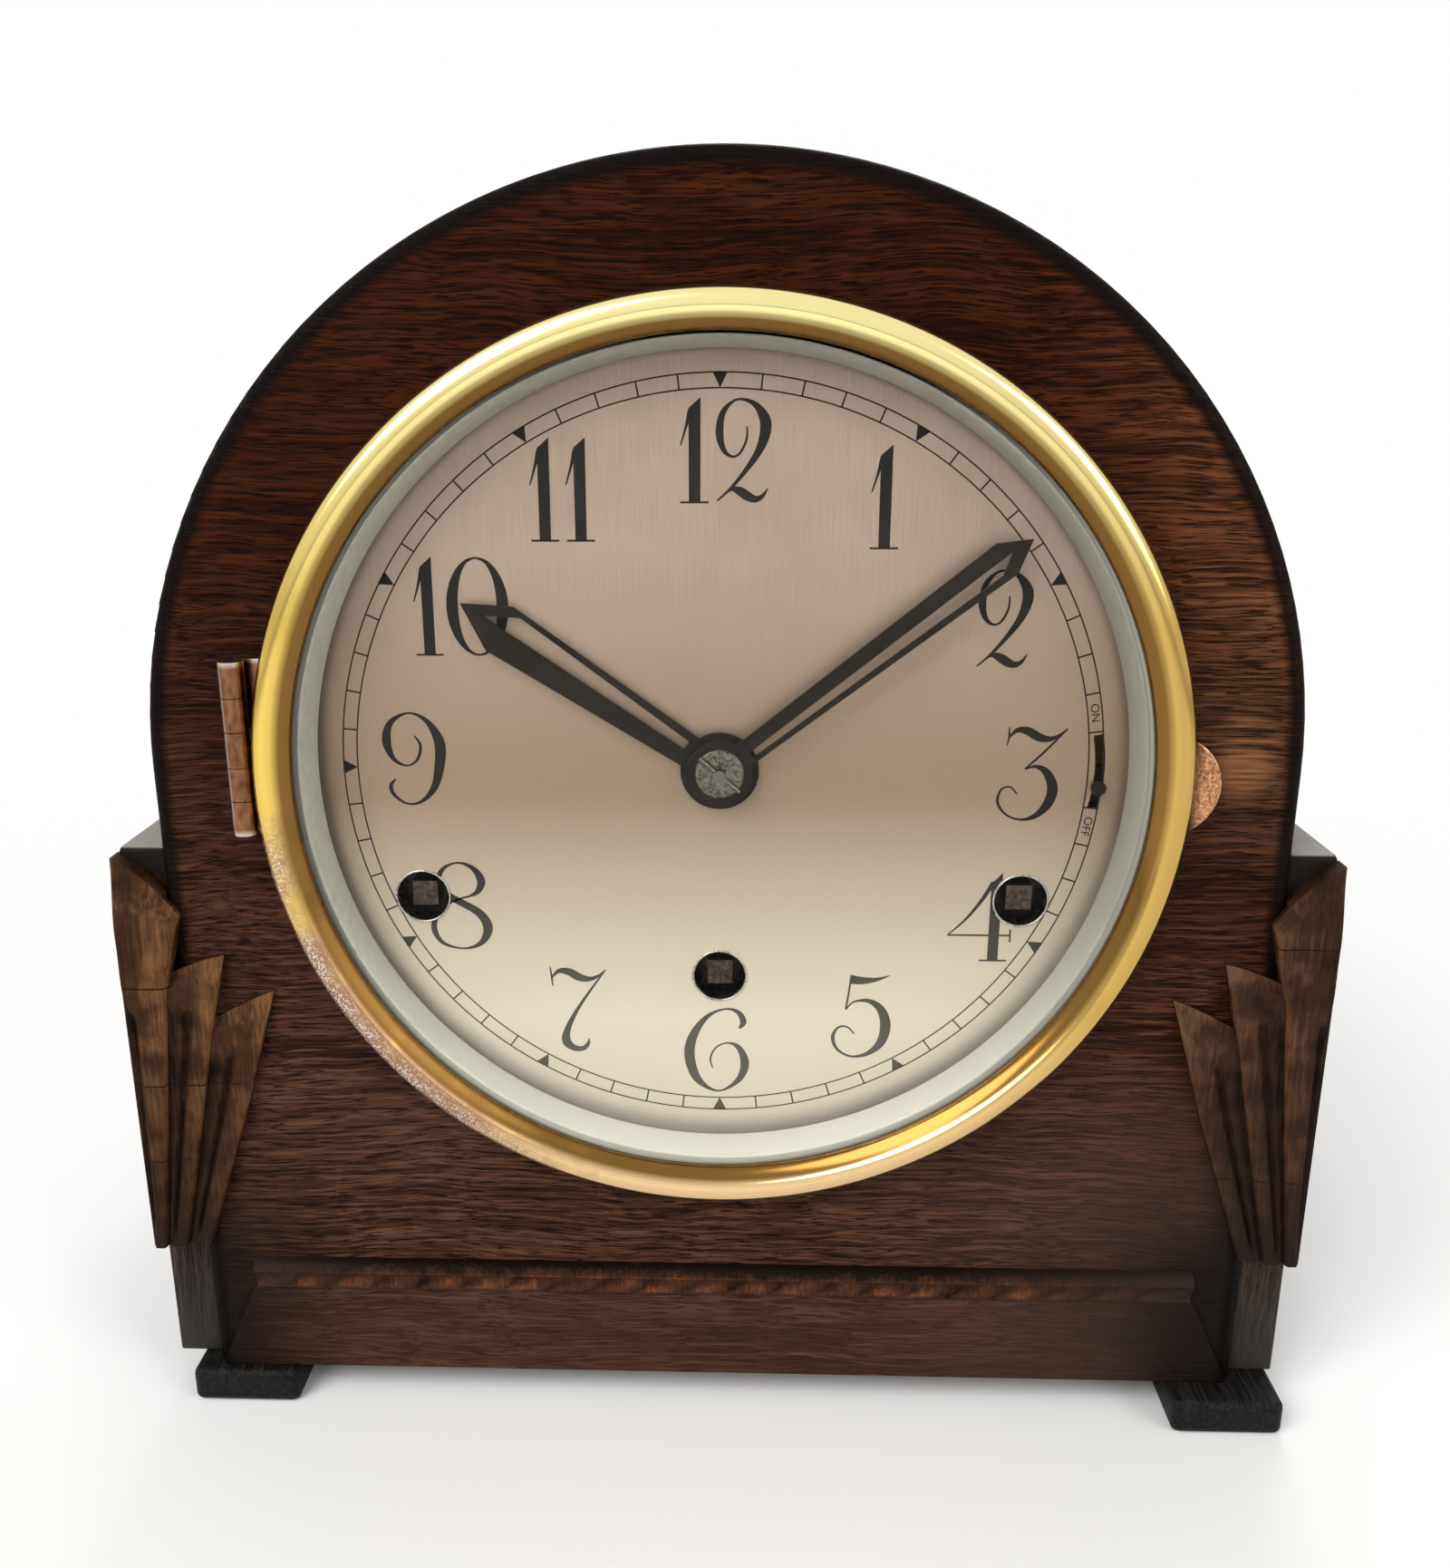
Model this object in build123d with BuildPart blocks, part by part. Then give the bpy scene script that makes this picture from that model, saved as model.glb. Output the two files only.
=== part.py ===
"""Arch-top chiming mantel clock, in millimetres.

X runs to the right and Z up as the dial is read, Y runs from the dial to the back door.
The origin is on the table under the middle of the clock.
Depths are measured backwards from the face of the front board, so what stands proud is negative.
"""
import os
from math import asin, atan2, cos, degrees, radians, sin, sqrt

from build123d import *

os.makedirs("parts", exist_ok=True)

# Case
case_width = 235.0
case_depth = 120.0
pillar_width = 9.5
board_height = 240.0
board_thickness = 12.0
board_edge_round = 2.0
shell_thickness = 5.0
floor_thickness = 8.0
shoulder_height = 115.8
pillar_setback = 2.8
pillar_chamfer = 0.8
foot_height = 7.5
foot_width = 22.5
left_foot_proud = 4.3
right_foot_proud = 8.2
foot_round = 1.8
left_foot_inset = 5.0
right_foot_inset = 0.8

# Plinth rail and carved bead on the front board
rail_height = 19.5
rail_proud = 1.6
rail_top_inset = 10.0
rail_foot_inset = 1.5
bead_height = 6.5
bead_proud = 3.2
bead_end_inset = 10.5
bead_gap = 18.0

# Carved fans: each leaf is given from the pillar's outer edge inwards and from its top down
fan_foot = 30.0
leaf_proud = (4.2, 3.4, 2.6)
leaf_top_outer = ((0.0, 1.2), (9.6, 25.8), (17.4, 35.6))
leaf_tip = ((12.2, 14.0), (20.3, 21.2), (29.5, 28.8))
leaf_side = ((8.8, 28.3), (16.6, 37.8), (22.6, 52.8))
leaf_foot_edges = (0.0, 2.8, 6.8, 11.6)
leaf_lap = 1.6
leaf_groove_width = 1.1
leaf_groove_depth = 0.9
leaf_groove_top = 0.86
leaf_groove_foot = 6.5

# Back frame, door and their hinges
frame_thickness = 8.0
door_stile = 23.0
door_bottom = 22.0
door_thickness = 5.0
door_gap = 0.6
door_lip = 4.0
slot_count = 5
slot_width = 5.0
slot_length = 62.0
slot_pitch = 17.0
slot_height = 116.0
back_hinge_inset = 26.0
back_hinge_length = 24.0
back_hinge_leaf = 10.0
back_hinge_thickness = 1.0
back_knuckle_radius = 1.5
back_pin_radius = 0.7
knuckle_gap = 0.15
catch_inset = 10.0
catch_height = 112.0
catch_knob_radius = 6.0
catch_knob_proud = 8.0
catch_knob_round = 2.0
catch_shaft_radius = 2.5
catch_tongue_length = 16.0
catch_tongue_width = 5.0
catch_tongue_thickness = 1.5

# Bezel door
crown_margin = 22.4
bezel_face = 7.3
bezel_lift = 1.0
bezel_proud = 7.0
bezel_lip_proud = 4.3
bezel_edge = 1.5
bezel_crest_inset = 3.2
bezel_outer_round = 4.6
bezel_inner_round = 6.5
glass_thickness = 1.8
glass_rise = 6.0
glass_seat = 2.2
glass_lap = 2.0
glass_clearance = 0.2
glass_dome_inset = 0.4
sight_taper = 2.6
sight_gap = 2.8
sight_wall = 0.6
bezel_hinge_length = 33.0
bezel_hinge_lift = 6.2
bezel_knuckle_radius = 2.4
bezel_pin_radius = 0.9
bezel_leaf_thickness = 0.7
bezel_leaf_reach = 8.0
bezel_mortise_depth = 8.0
bezel_knuckles = 5
bezel_knuckle_gap = 0.2
bezel_knuckle_lift = 0.8
bezel_strap_gap = 0.3
mortise_clearance = 0.1
tab_radius = 9.6
tab_reach = 4.8

# Dial and hands
dial_depth = 7.5
dial_thickness = 1.0
dial_seat = 3.5
dial_hole_gap = 0.6
opening_gap = 1.0
winding_hole_radius = 5.15
winding_rim_width = 0.3
winding_rim_proud = 0.3
lever_slot_half_width = 0.95
lever_slot_spare = 1.0
minute_hand_turn = 52.1
hour_shown = 10
hand_thickness = 0.6
minute_hand_lift = 4.0
minute_tip_gap = 5.4
minute_barb = (3.4, 5.7)
minute_root = 2.3
minute_boss_radius = 6.4
minute_slot_foot = ((1.4, 6.9), (0.2, 6.9))
minute_slot = ((-0.4, 4.2), (2.1, 8.0))
hour_hand_lift = 2.1
hour_tip_gap = 19.0
hour_barb = (4.9, 8.5)
hour_root = 2.9
hour_boss_radius = 7.5
hour_slot_foot = ((1.6, 8.0), (-0.2, 8.0))
hour_slot = ((0.2, 4.3), (3.9, 10.8))
hour_hand_set_back = 0.8
washer_radius = 4.7
washer_thickness = 0.8
washer_chamfer = 0.25
taper_pin_radius = 0.5
taper_pin_tip_radius = 0.35
taper_pin_length = 10.0
taper_pin_turn = 140.0

# Movement plates
plate_standoff = 6.0
plate_thickness = 2.0
plate_gap = 42.0
plate_side_inset = 4.0
plate_top = 54.0
plate_bottom = -66.0
plate_corner = 6.0
pillar_radius = 4.0
pillar_nut_radius = 3.6
pillar_nut_height = 2.4
pillar_neck_radius = 2.0
pillar_top_inset = (18.0, 12.0)
pillar_foot_inset = (12.0, 9.0)
fixing_top_inset = (5.0, 5.5)
fixing_foot_inset = (4.0, 4.5)
fixing_radius = 3.0
fixing_head_radius = 3.6
fixing_head_height = 1.8
fixing_shank_radius = 1.8
fixing_bite = 7.0

# Train: V-shaped teeth, with the pitch line nearer the tips so that meshed teeth have backlash
tooth_addendum = 0.7
tooth_dedendum = 1.5
barrel_teeth = 60
barrel_module = 0.75
side_barrel_inset = 21.0
side_barrel_drop = 26.5
barrel_wheel_thickness = 2.5
barrel_offset = 4.0
barrel_length = 22.0
barrel_wall_radius = 20.8
winding_arbor_radius = 4.0
winding_pivot_radius = 3.0
winding_square = 5.0
winding_square_gap = 0.8
ratchet_teeth = 18
ratchet_radius = 8.0
ratchet_root = 6.8
ratchet_lean = 0.9
ratchet_thickness = 2.0
ratchet_gap = 0.5
pinion_leaves = 10
intermediate_teeth = 60
intermediate_module = 0.5
intermediate_gap = 3.0
intermediate_side = 3.96
centre_teeth = 80
centre_module = 0.38
centre_offset = 10.0
small_pinion_leaves = 8
third_teeth = 80
third_module = 0.36
third_offset = 18.0
third_turn = 120.0
escape_teeth = 48
escape_radius = 11.0
escape_tooth = 1.3
escape_lean = 0.85
escape_offset = 26.0
wheel_thickness = 1.5
pinion_overlap = 0.8
centre_arbor_radius = 1.2
train_arbor_radius = 1.4
thin_arbor_radius = 0.85
pivot_radius = 0.6
running_clearance = 0.05
end_shake = 0.3

# Motion work between the plate and the dial
cannon_teeth = 10
minute_wheel_teeth = 30
motion_module = 0.6
minute_pinion_teeth = 10
hour_wheel_teeth = 40
minute_wheel_turn = 225.0
motion_wheel_thickness = 1.4
hour_wheel_offset = 3.1
cannon_offset = 3.0
cannon_pipe_radius = 2.0
hour_pipe_radius = 3.2
stud_radius = 1.0
stud_collar_radius = 2.0
hand_fit = 0.05

# Escapement and pendulum
pallet_distance = 15.5
pallet_thickness = 1.2
pallet_clearance = 0.9
anchor_span = 60.0
anchor_arm = 2.2
crutch_offset = 2.0
crutch_length = 38.0
crutch_width = 3.0
crutch_thickness = 1.2
fork_gap = 0.3
fork_wall = 0.8
fork_reach = 2.0
rod_offset = 6.0
rod_radius = 1.2
rod_floor_gap = 7.2
bob_radius = 14.0
bob_thickness = 8.0
bob_curve = (0.7, 0.62)
rod_spare = 2.0
rating_nut_radius = 3.2
rating_nut_height = 3.0
spring_thickness = 0.4
spring_width = 5.0
spring_above = 5.0
spring_below = 4.0
cock_width = 12.0
cock_height = 6.0
cock_slit = 1.6
cock_wall = 1.0
cock_gap = 1.4

# Hammers, rods and the chime lever
chime_rod_depths = (28.0, 37.0, 46.0, 55.0)
chime_rod_lengths = (150.0, 142.0, 134.0, 126.0)
chime_rod_radius = 1.5
chime_rod_height = 17.5
block_inset = 7.0
block_width = 18.0
block_depth = 39.0
block_height = 26.0
hammer_side = 30.0
hammer_inset = 6.0
hammer_arbor_radius = 1.5
hammer_hub_radius = 3.2
hammer_hub_length = 5.0
hammer_block_gap = 16.0
hammer_head_radius = 3.6
hammer_head_length = 14.0
hammer_gap = 2.5
hammer_arm_width = 2.6
hammer_arm_thickness = 2.0
lever_side = 40.0
lever_tip_gap = 4.5
lever_rest = -5.8
lever_up = 16.0
lever_down = -5.5
lever_offset = 1.3
lever_hub_radius = 2.5
lever_thickness = 1.2
lever_width = 3.0
lever_pin_radius = 0.7
lever_knob_radius = 1.4
lever_knob_height = 1.0

# Places worked out from the sizes above
board_width = case_width - 2 * pillar_width
door_width = board_width - 2 * door_stile
plinth_height = rail_height + bead_height + bead_gap
bezel_radius = (board_height - crown_margin - plinth_height) / 2
bezel_lip_radius = bezel_radius - bezel_face
lip_back = -(glass_seat + bezel_lift)
front_reach = max(left_foot_proud, right_foot_proud, glass_rise - lip_back)
y_face = -(case_depth + catch_knob_proud - front_reach) / 2
case_bottom = foot_height
crown = case_bottom + board_height
floor_top = case_bottom + floor_thickness
dial_z = case_bottom + plinth_height + bezel_radius
glass_radius = bezel_lip_radius + glass_lap
sight_radius = bezel_lip_radius - sight_taper
sight_depth = dial_depth - sight_gap
opening_radius = bezel_lip_radius + opening_gap
dial_radius = opening_radius + dial_seat
dial_back = dial_depth + dial_thickness
minute_hand_depth = dial_depth - minute_hand_lift
hour_hand_depth = dial_depth - hour_hand_lift
minute_hand_length = sight_radius - minute_tip_gap
hour_hand_length = sight_radius - hour_tip_gap
hour_hand_turn = hour_shown * 30 + minute_hand_turn / 12 - hour_hand_set_back
lever_pivot = (lever_side, 0.0)
lever_length = sight_radius - lever_side - lever_tip_gap
lever_depth = dial_back + lever_offset
lever_back = lever_depth + lever_thickness
hour_wheel_depth = dial_back + hour_wheel_offset
cannon_depth = hour_wheel_depth + cannon_offset
front_plate_depth = board_thickness + plate_standoff
front_plate_back = front_plate_depth + plate_thickness
back_plate_depth = front_plate_back + plate_gap
back_plate_back = back_plate_depth + plate_thickness
barrel_front = front_plate_back + barrel_offset
barrel_back = barrel_front + barrel_length
intermediate_depth = barrel_back + intermediate_gap
centre_wheel_depth = front_plate_back + centre_offset
third_wheel_depth = front_plate_back + third_offset
escape_depth = front_plate_back + escape_offset
crutch_depth = back_plate_back + crutch_offset
rod_depth = back_plate_back + rod_offset
plate_half_width = dial_radius - plate_side_inset
hammer_pivot = (hammer_side, plate_bottom + hammer_inset)
dial_axis = Axis((0, y_face, dial_z), (0, 1, 0))
door_crown = crown - (board_width - door_width) / 2
inner_half = board_width / 2 - shell_thickness


def facing(depth, x=0.0, z=0.0):
    """Plane that faces the reader; extruding it by a positive amount comes forwards."""
    return Plane(origin=(x, y_face + depth, z), x_dir=(1, 0, 0), z_dir=(0, -1, 0))


def on_dial(depth, at=(0.0, 0.0), turn=0.0):
    """Plane that faces the reader at a place measured from the dial's centre, turned clockwise."""
    angle = radians(turn)
    return Plane(
        origin=(at[0], y_face + depth, dial_z + at[1]),
        x_dir=(cos(angle), 0, -sin(angle)),
        z_dir=(0, -1, 0),
    )


def dial_section():
    """Half section through the dial's axis: radius along X, depth along Y."""
    return Plane(origin=(0, y_face, dial_z), x_dir=(1, 0, 0), z_dir=(0, 0, 1))


def save(builder, name):
    """Label a finished piece and write it to its own file."""
    builder.part.label = name
    export_step(builder.part, f"parts/{name}.step")


def arch(half_width, bottom, top, mode=Mode.ADD):
    """Face with a flat bottom, upright sides and a semicircular top."""
    spring = top - half_width
    with BuildLine() as outline:
        Polyline((half_width, spring), (half_width, bottom), (-half_width, bottom), (-half_width, spring))
        ThreePointArc((-half_width, spring), (0, top), (half_width, spring))
    make_face(outline.edges(), mode=mode)


def bar(front, back, radius, at=(0.0, 0.0), mode=Mode.ADD):
    """Round bar between two depths."""
    with BuildSketch(on_dial(back, at)) as section:
        Circle(radius)
    extrude(section.sketch, amount=back - front, mode=mode)


def slab(front, back, at, width, height, turn=0.0, mode=Mode.ADD):
    """Rectangular bar between two depths."""
    with BuildSketch(on_dial(back, at, turn)) as section:
        Rectangle(width, height)
    extrude(section.sketch, amount=back - front, mode=mode)


def teeth_outline(count, tip, root, phase, lean=0.5):
    """Face of a wheel with pointed teeth, one tip at the phase angle."""
    points = []
    for index in range(count):
        for radius, share in ((tip, 0.0), (root, lean)):
            angle = radians(phase + 360 * (index + share) / count)
            points.append((radius * cos(angle), radius * sin(angle)))
    with BuildLine() as outline:
        Polyline(*points, close=True)
    make_face(outline.edges())


def gear(front, back, count, module, at, phase):
    """Toothed wheel or pinion between two depths."""
    pitch = count * module / 2
    with BuildSketch(on_dial(back, at)) as section:
        teeth_outline(count, pitch + tooth_addendum * module, pitch - tooth_dedendum * module, phase)
    extrude(section.sketch, amount=back - front)


def direction(start, end):
    """Angle in degrees from one arbor to another."""
    return degrees(atan2(end[1] - start[1], end[0] - start[0]))


def step_from(start, distance, angle):
    """Place at a distance and an angle from another place."""
    return (start[0] + distance * cos(radians(angle)), start[1] + distance * sin(radians(angle)))


def gap_phase(count, angle):
    """Phase that puts a gap between two teeth at the angle."""
    return angle + 180 / count


def pitch_distance(module, first, second):
    """Distance between the arbors of two meshed gears."""
    return module * (first + second) / 2


def corner_places(top_inset, foot_inset):
    """Four places, each a given distance in from a corner of the movement's plates."""
    top = (plate_half_width - top_inset[0], plate_top - top_inset[1])
    foot = (plate_half_width - foot_inset[0], plate_bottom + foot_inset[1])
    return [(side * x, z) for x, z in (top, foot) for side in (-1, 1)]


plate_pillar_places = corner_places(pillar_top_inset, pillar_foot_inset)
fixing_places = corner_places(fixing_top_inset, fixing_foot_inset)

# Arbor places
centre = (0.0, 0.0)
barrel_mesh = pitch_distance(barrel_module, barrel_teeth, pinion_leaves)
intermediate_mesh = pitch_distance(intermediate_module, intermediate_teeth, pinion_leaves)
intermediate = (intermediate_side, -sqrt(intermediate_mesh**2 - intermediate_side**2))
going = (0.0, intermediate[1] - sqrt(barrel_mesh**2 - intermediate_side**2))
side_barrel_x = plate_half_width - side_barrel_inset
barrel_places = ((-side_barrel_x, -side_barrel_drop), going, (side_barrel_x, -side_barrel_drop))
third = step_from(centre, pitch_distance(centre_module, centre_teeth, small_pinion_leaves), third_turn)
escape_mesh = pitch_distance(third_module, third_teeth, small_pinion_leaves)
escape = (0.0, third[1] + sqrt(escape_mesh**2 - third[0] ** 2))
pallet = (0.0, escape[1] + pallet_distance)
motion_mesh = pitch_distance(motion_module, cannon_teeth, minute_wheel_teeth)
minute_stud = step_from(centre, motion_mesh, minute_wheel_turn)
hour_module = 2 * motion_mesh / (minute_pinion_teeth + hour_wheel_teeth)

# Front board: arch with a round opening, a rebate behind it for the dial and a hinge mortise
bezel_hinge_x = -(bezel_radius + bezel_knuckle_radius + bezel_knuckle_gap)
bezel_hinge_depth = -(bezel_knuckle_radius + bezel_knuckle_lift)
bezel_hinge_place = (bezel_hinge_x, bezel_hinge_lift)
with BuildPart() as front_board:
    with BuildSketch(facing(board_thickness)):
        arch(board_width / 2, case_bottom, crown)
    extrude(amount=board_thickness)
    outline = front_board.faces().sort_by(Axis.Y)[0].edges().sort_by(Axis.Z)
    fillet(outline[1:], radius=board_edge_round)
    bar(0, board_thickness, opening_radius, mode=Mode.SUBTRACT)
    bar(dial_depth, board_thickness, dial_radius + mortise_clearance, mode=Mode.SUBTRACT)
    slab(
        0,
        bezel_mortise_depth + mortise_clearance,
        bezel_hinge_place,
        bezel_leaf_thickness + 2 * mortise_clearance,
        bezel_hinge_length + 2 * mortise_clearance,
        mode=Mode.SUBTRACT,
    )
    for place in fixing_places:
        bar(board_thickness - fixing_bite, board_thickness, fixing_shank_radius, place, Mode.SUBTRACT)
save(front_board, "front_board")

# Arched shell: bent ply from the front board to the back frame
shell_end = case_depth - frame_thickness
with BuildPart() as arch_shell:
    with BuildSketch(facing(shell_end)):
        arch(board_width / 2, case_bottom, crown)
        arch(inner_half, case_bottom - floor_thickness, crown - shell_thickness, Mode.SUBTRACT)
    extrude(amount=shell_end - board_thickness)
save(arch_shell, "arch_shell")

# Shoulder pillars
for side, name in ((-1, "left_pillar"), (1, "right_pillar")):
    with BuildPart() as pillar:
        with BuildSketch(facing(case_depth, side * (board_width + pillar_width) / 2, case_bottom)):
            Rectangle(pillar_width, shoulder_height, align=(Align.CENTER, Align.MIN))
        extrude(amount=case_depth - pillar_setback)
        chamfer(pillar.faces().sort_by(Axis.Z)[-1].edges(), length=pillar_chamfer)
    save(pillar, name)


def leaf_points(index, side):
    """Outline of one leaf of the fan: slanted top, swept side and a narrow foot."""
    lap = leaf_lap if index else 0.0
    blade = (
        (leaf_top_outer[index][0] - lap, leaf_top_outer[index][1]),
        leaf_tip[index],
        leaf_side[index],
    )
    outline = [(inwards, shoulder_height - drop) for inwards, drop in blade]
    outline.append((leaf_foot_edges[index + 1], fan_foot))
    outline.append((leaf_foot_edges[index] - lap, fan_foot))
    return [(side * (case_width / 2 - inwards), case_bottom + height) for inwards, height in outline]


# Carved fans: three stepped leaves, each with a gouged groove, over the pillar and the front board
for side, name in ((-1, "left_carved_fan"), (1, "right_carved_fan")):
    with BuildPart() as fan:
        for index, proud in enumerate(leaf_proud):
            corners = leaf_points(index, side)
            with BuildSketch(facing(pillar_setback)):
                with BuildLine():
                    Polyline(*corners, close=True)
                make_face()
            extrude(amount=pillar_setback + proud)
        for index, proud in enumerate(leaf_proud):
            corners = leaf_points(index, side)
            top = [(corners[0][axis] + corners[1][axis]) / 2 for axis in (0, 1)]
            foot = [(corners[3][axis] + corners[4][axis]) / 2 for axis in (0, 1)]
            start = [foot[axis] + (top[axis] - foot[axis]) * leaf_groove_top for axis in (0, 1)]
            with BuildSketch(facing(leaf_groove_depth - proud)):
                with BuildLine():
                    Polyline(
                        (start[0] - leaf_groove_width, start[1]),
                        (start[0] + leaf_groove_width, start[1]),
                        (foot[0], foot[1] + leaf_groove_foot),
                        close=True,
                    )
                make_face()
            extrude(amount=leaf_groove_depth, mode=Mode.SUBTRACT)
        with BuildSketch(facing(pillar_setback)):
            with Locations((0, case_bottom + board_height / 2)):
                Rectangle(board_width, board_height)
        extrude(amount=pillar_setback, mode=Mode.SUBTRACT)
    save(fan, name)

# Plinth rail with slanted ends, and the half-round bead above it
with BuildPart() as plinth_rail:
    with BuildSketch(facing(0)):
        with BuildLine():
            foot_half = board_width / 2 - rail_foot_inset
            top_half = board_width / 2 - rail_top_inset
            rail_top = case_bottom + rail_height
            Polyline(
                (-foot_half, case_bottom),
                (foot_half, case_bottom),
                (top_half, rail_top),
                (-top_half, rail_top),
                close=True,
            )
        make_face()
    extrude(amount=rail_proud)
save(plinth_rail, "plinth_rail")

bead_half = board_width / 2 - bead_end_inset
with BuildPart() as carved_bead:
    with BuildSketch(Plane(origin=(-bead_half, y_face, rail_top), x_dir=(0, -1, 0), z_dir=(1, 0, 0))):
        with BuildLine():
            Line((0, 0), (0, -bead_height))
            ThreePointArc((0, -bead_height), (bead_proud, -bead_height / 2), (0, 0))
        make_face()
    extrude(amount=2 * bead_half)
save(carved_bead, "carved_bead")

# Bottom board between the shell's sides
with BuildPart() as bottom_board:
    with BuildSketch(facing(shell_end, 0, case_bottom)):
        Rectangle(2 * inner_half, floor_thickness, align=(Align.CENTER, Align.MIN))
    extrude(amount=shell_end - board_thickness)
save(bottom_board, "bottom_board")

# Runner feet
left_foot_x = -case_width / 2 + left_foot_inset + foot_width / 2
right_foot_x = case_width / 2 - right_foot_inset - foot_width / 2
left_foot_place = (left_foot_x, left_foot_proud)
right_foot_place = (right_foot_x, right_foot_proud)
for (foot_x, proud), name in ((left_foot_place, "left_foot"), (right_foot_place, "right_foot")):
    with BuildPart() as foot:
        with BuildSketch(facing(case_depth, foot_x, 0)):
            Rectangle(foot_width, foot_height, align=(Align.CENTER, Align.MIN))
        extrude(amount=case_depth + proud)
        front_edges = foot.faces().sort_by(Axis.Y)[0].edges()
        fillet(front_edges, radius=foot_round)
    save(foot, name)

# Back frame with a rebated door opening
with BuildPart() as back_frame:
    with BuildSketch(facing(case_depth)):
        arch(board_width / 2, case_bottom, crown)
        lip_half = door_width / 2 - door_lip
        arch(lip_half, case_bottom + door_bottom + door_lip, door_crown - door_lip, Mode.SUBTRACT)
    extrude(amount=frame_thickness)
    with BuildSketch(facing(case_depth)):
        arch(door_width / 2, case_bottom + door_bottom, door_crown)
    extrude(amount=door_thickness + running_clearance, mode=Mode.SUBTRACT)
save(back_frame, "back_frame")

# Back door with upright sound slots and a hole for the catch
catch_x = door_width / 2 - catch_inset
catch_z = case_bottom + catch_height
with BuildPart() as back_door:
    with BuildSketch(facing(case_depth)):
        door_half = door_width / 2 - door_gap
        arch(door_half, case_bottom + door_bottom + door_gap, door_crown - door_gap)
        with Locations((0, case_bottom + slot_height)):
            with GridLocations(slot_pitch, slot_length, slot_count, 1):
                SlotOverall(slot_length, slot_width, rotation=90, mode=Mode.SUBTRACT)
        with Locations((catch_x, catch_z)):
            Circle(catch_shaft_radius + running_clearance, mode=Mode.SUBTRACT)
    extrude(amount=door_thickness)
save(back_door, "back_door")

# Back door hinges: the fixed leaves hold the outer knuckles and the pins
back_hinge_x = -door_width / 2
back_axis_depth = case_depth + back_knuckle_radius + running_clearance
door_spring = door_crown - door_width / 2
back_hinge_heights = (case_bottom + door_bottom + back_hinge_inset, door_spring - back_hinge_inset)


def upright_barrel(x, depth, low, high, radius, mode=Mode.ADD):
    """Upright round bar between two heights."""
    with BuildSketch(Plane.XY.offset(low)) as section:
        with Locations((x, y_face + depth)):
            Circle(radius)
    extrude(section.sketch, amount=high - low, mode=mode)


def upright_plate(x_low, x_high, front, back, low, high, mode=Mode.ADD):
    """Upright rectangular plate between two heights."""
    with BuildSketch(Plane.XY.offset(low)) as section:
        with Locations(((x_low + x_high) / 2, y_face + (front + back) / 2)):
            Rectangle(x_high - x_low, back - front)
    extrude(section.sketch, amount=high - low, mode=mode)


def back_hinge_spans(middle):
    """Heights of the three knuckles of one back hinge, from the bottom up."""
    low = middle - back_hinge_length / 2
    pitch = back_hinge_length / 3
    return [(low + pitch * step, low + pitch * (step + 1)) for step in range(3)]


leaf_root = back_knuckle_radius + door_gap
leaf_back = case_depth + back_hinge_thickness
with BuildPart() as back_hinge_fixed_leaves:
    for middle in back_hinge_heights:
        spans = back_hinge_spans(middle)
        outer = back_hinge_x - back_hinge_leaf
        upright_plate(outer, back_hinge_x - leaf_root, case_depth, leaf_back, spans[0][0], spans[2][1])
        for low, high in (spans[0], spans[2]):
            upright_plate(outer, back_hinge_x, case_depth, leaf_back, low, high)
            upright_barrel(back_hinge_x, back_axis_depth, low, high, back_knuckle_radius)
            bore = back_pin_radius + running_clearance
            upright_barrel(back_hinge_x, back_axis_depth, low, high, bore, Mode.SUBTRACT)
save(back_hinge_fixed_leaves, "back_hinge_fixed_leaves")

with BuildPart() as back_hinge_door_leaves:
    for middle in back_hinge_heights:
        spans = back_hinge_spans(middle)
        outer = back_hinge_x + back_hinge_leaf
        upright_plate(back_hinge_x + leaf_root, outer, case_depth, leaf_back, spans[0][0], spans[2][1])
        low = spans[1][0] + knuckle_gap
        high = spans[1][1] - knuckle_gap
        upright_plate(back_hinge_x, outer, case_depth + running_clearance, leaf_back, low, high)
        upright_barrel(back_hinge_x, back_axis_depth, low, high, back_knuckle_radius)
        bore = back_pin_radius + running_clearance
        upright_barrel(back_hinge_x, back_axis_depth, low, high, bore, Mode.SUBTRACT)
save(back_hinge_door_leaves, "back_hinge_door_leaves")

with BuildPart() as back_hinge_pins:
    for middle in back_hinge_heights:
        spans = back_hinge_spans(middle)
        upright_barrel(back_hinge_x, back_axis_depth, spans[0][0], spans[2][1], back_pin_radius)
save(back_hinge_pins, "back_hinge_pins")

# Turning catch of the back door: knob, shaft and tongue, drawn unlatched
tongue_back = case_depth - frame_thickness - end_shake
tongue_front = tongue_back - catch_tongue_thickness
catch_place = (catch_x, catch_z - dial_z)
knob_front = case_depth + end_shake
knob_back = case_depth + catch_knob_proud
with BuildPart() as door_catch:
    slab(tongue_front, tongue_back, catch_place, catch_tongue_width, catch_tongue_length)
    bar(tongue_front, knob_front, catch_shaft_radius, catch_place)
    bar(knob_front, knob_back, catch_knob_radius, catch_place)
    knob_edges = door_catch.faces().sort_by(Axis.Y)[-1].edges()
    fillet(knob_edges, radius=catch_knob_round)
save(door_catch, "door_catch")

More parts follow.
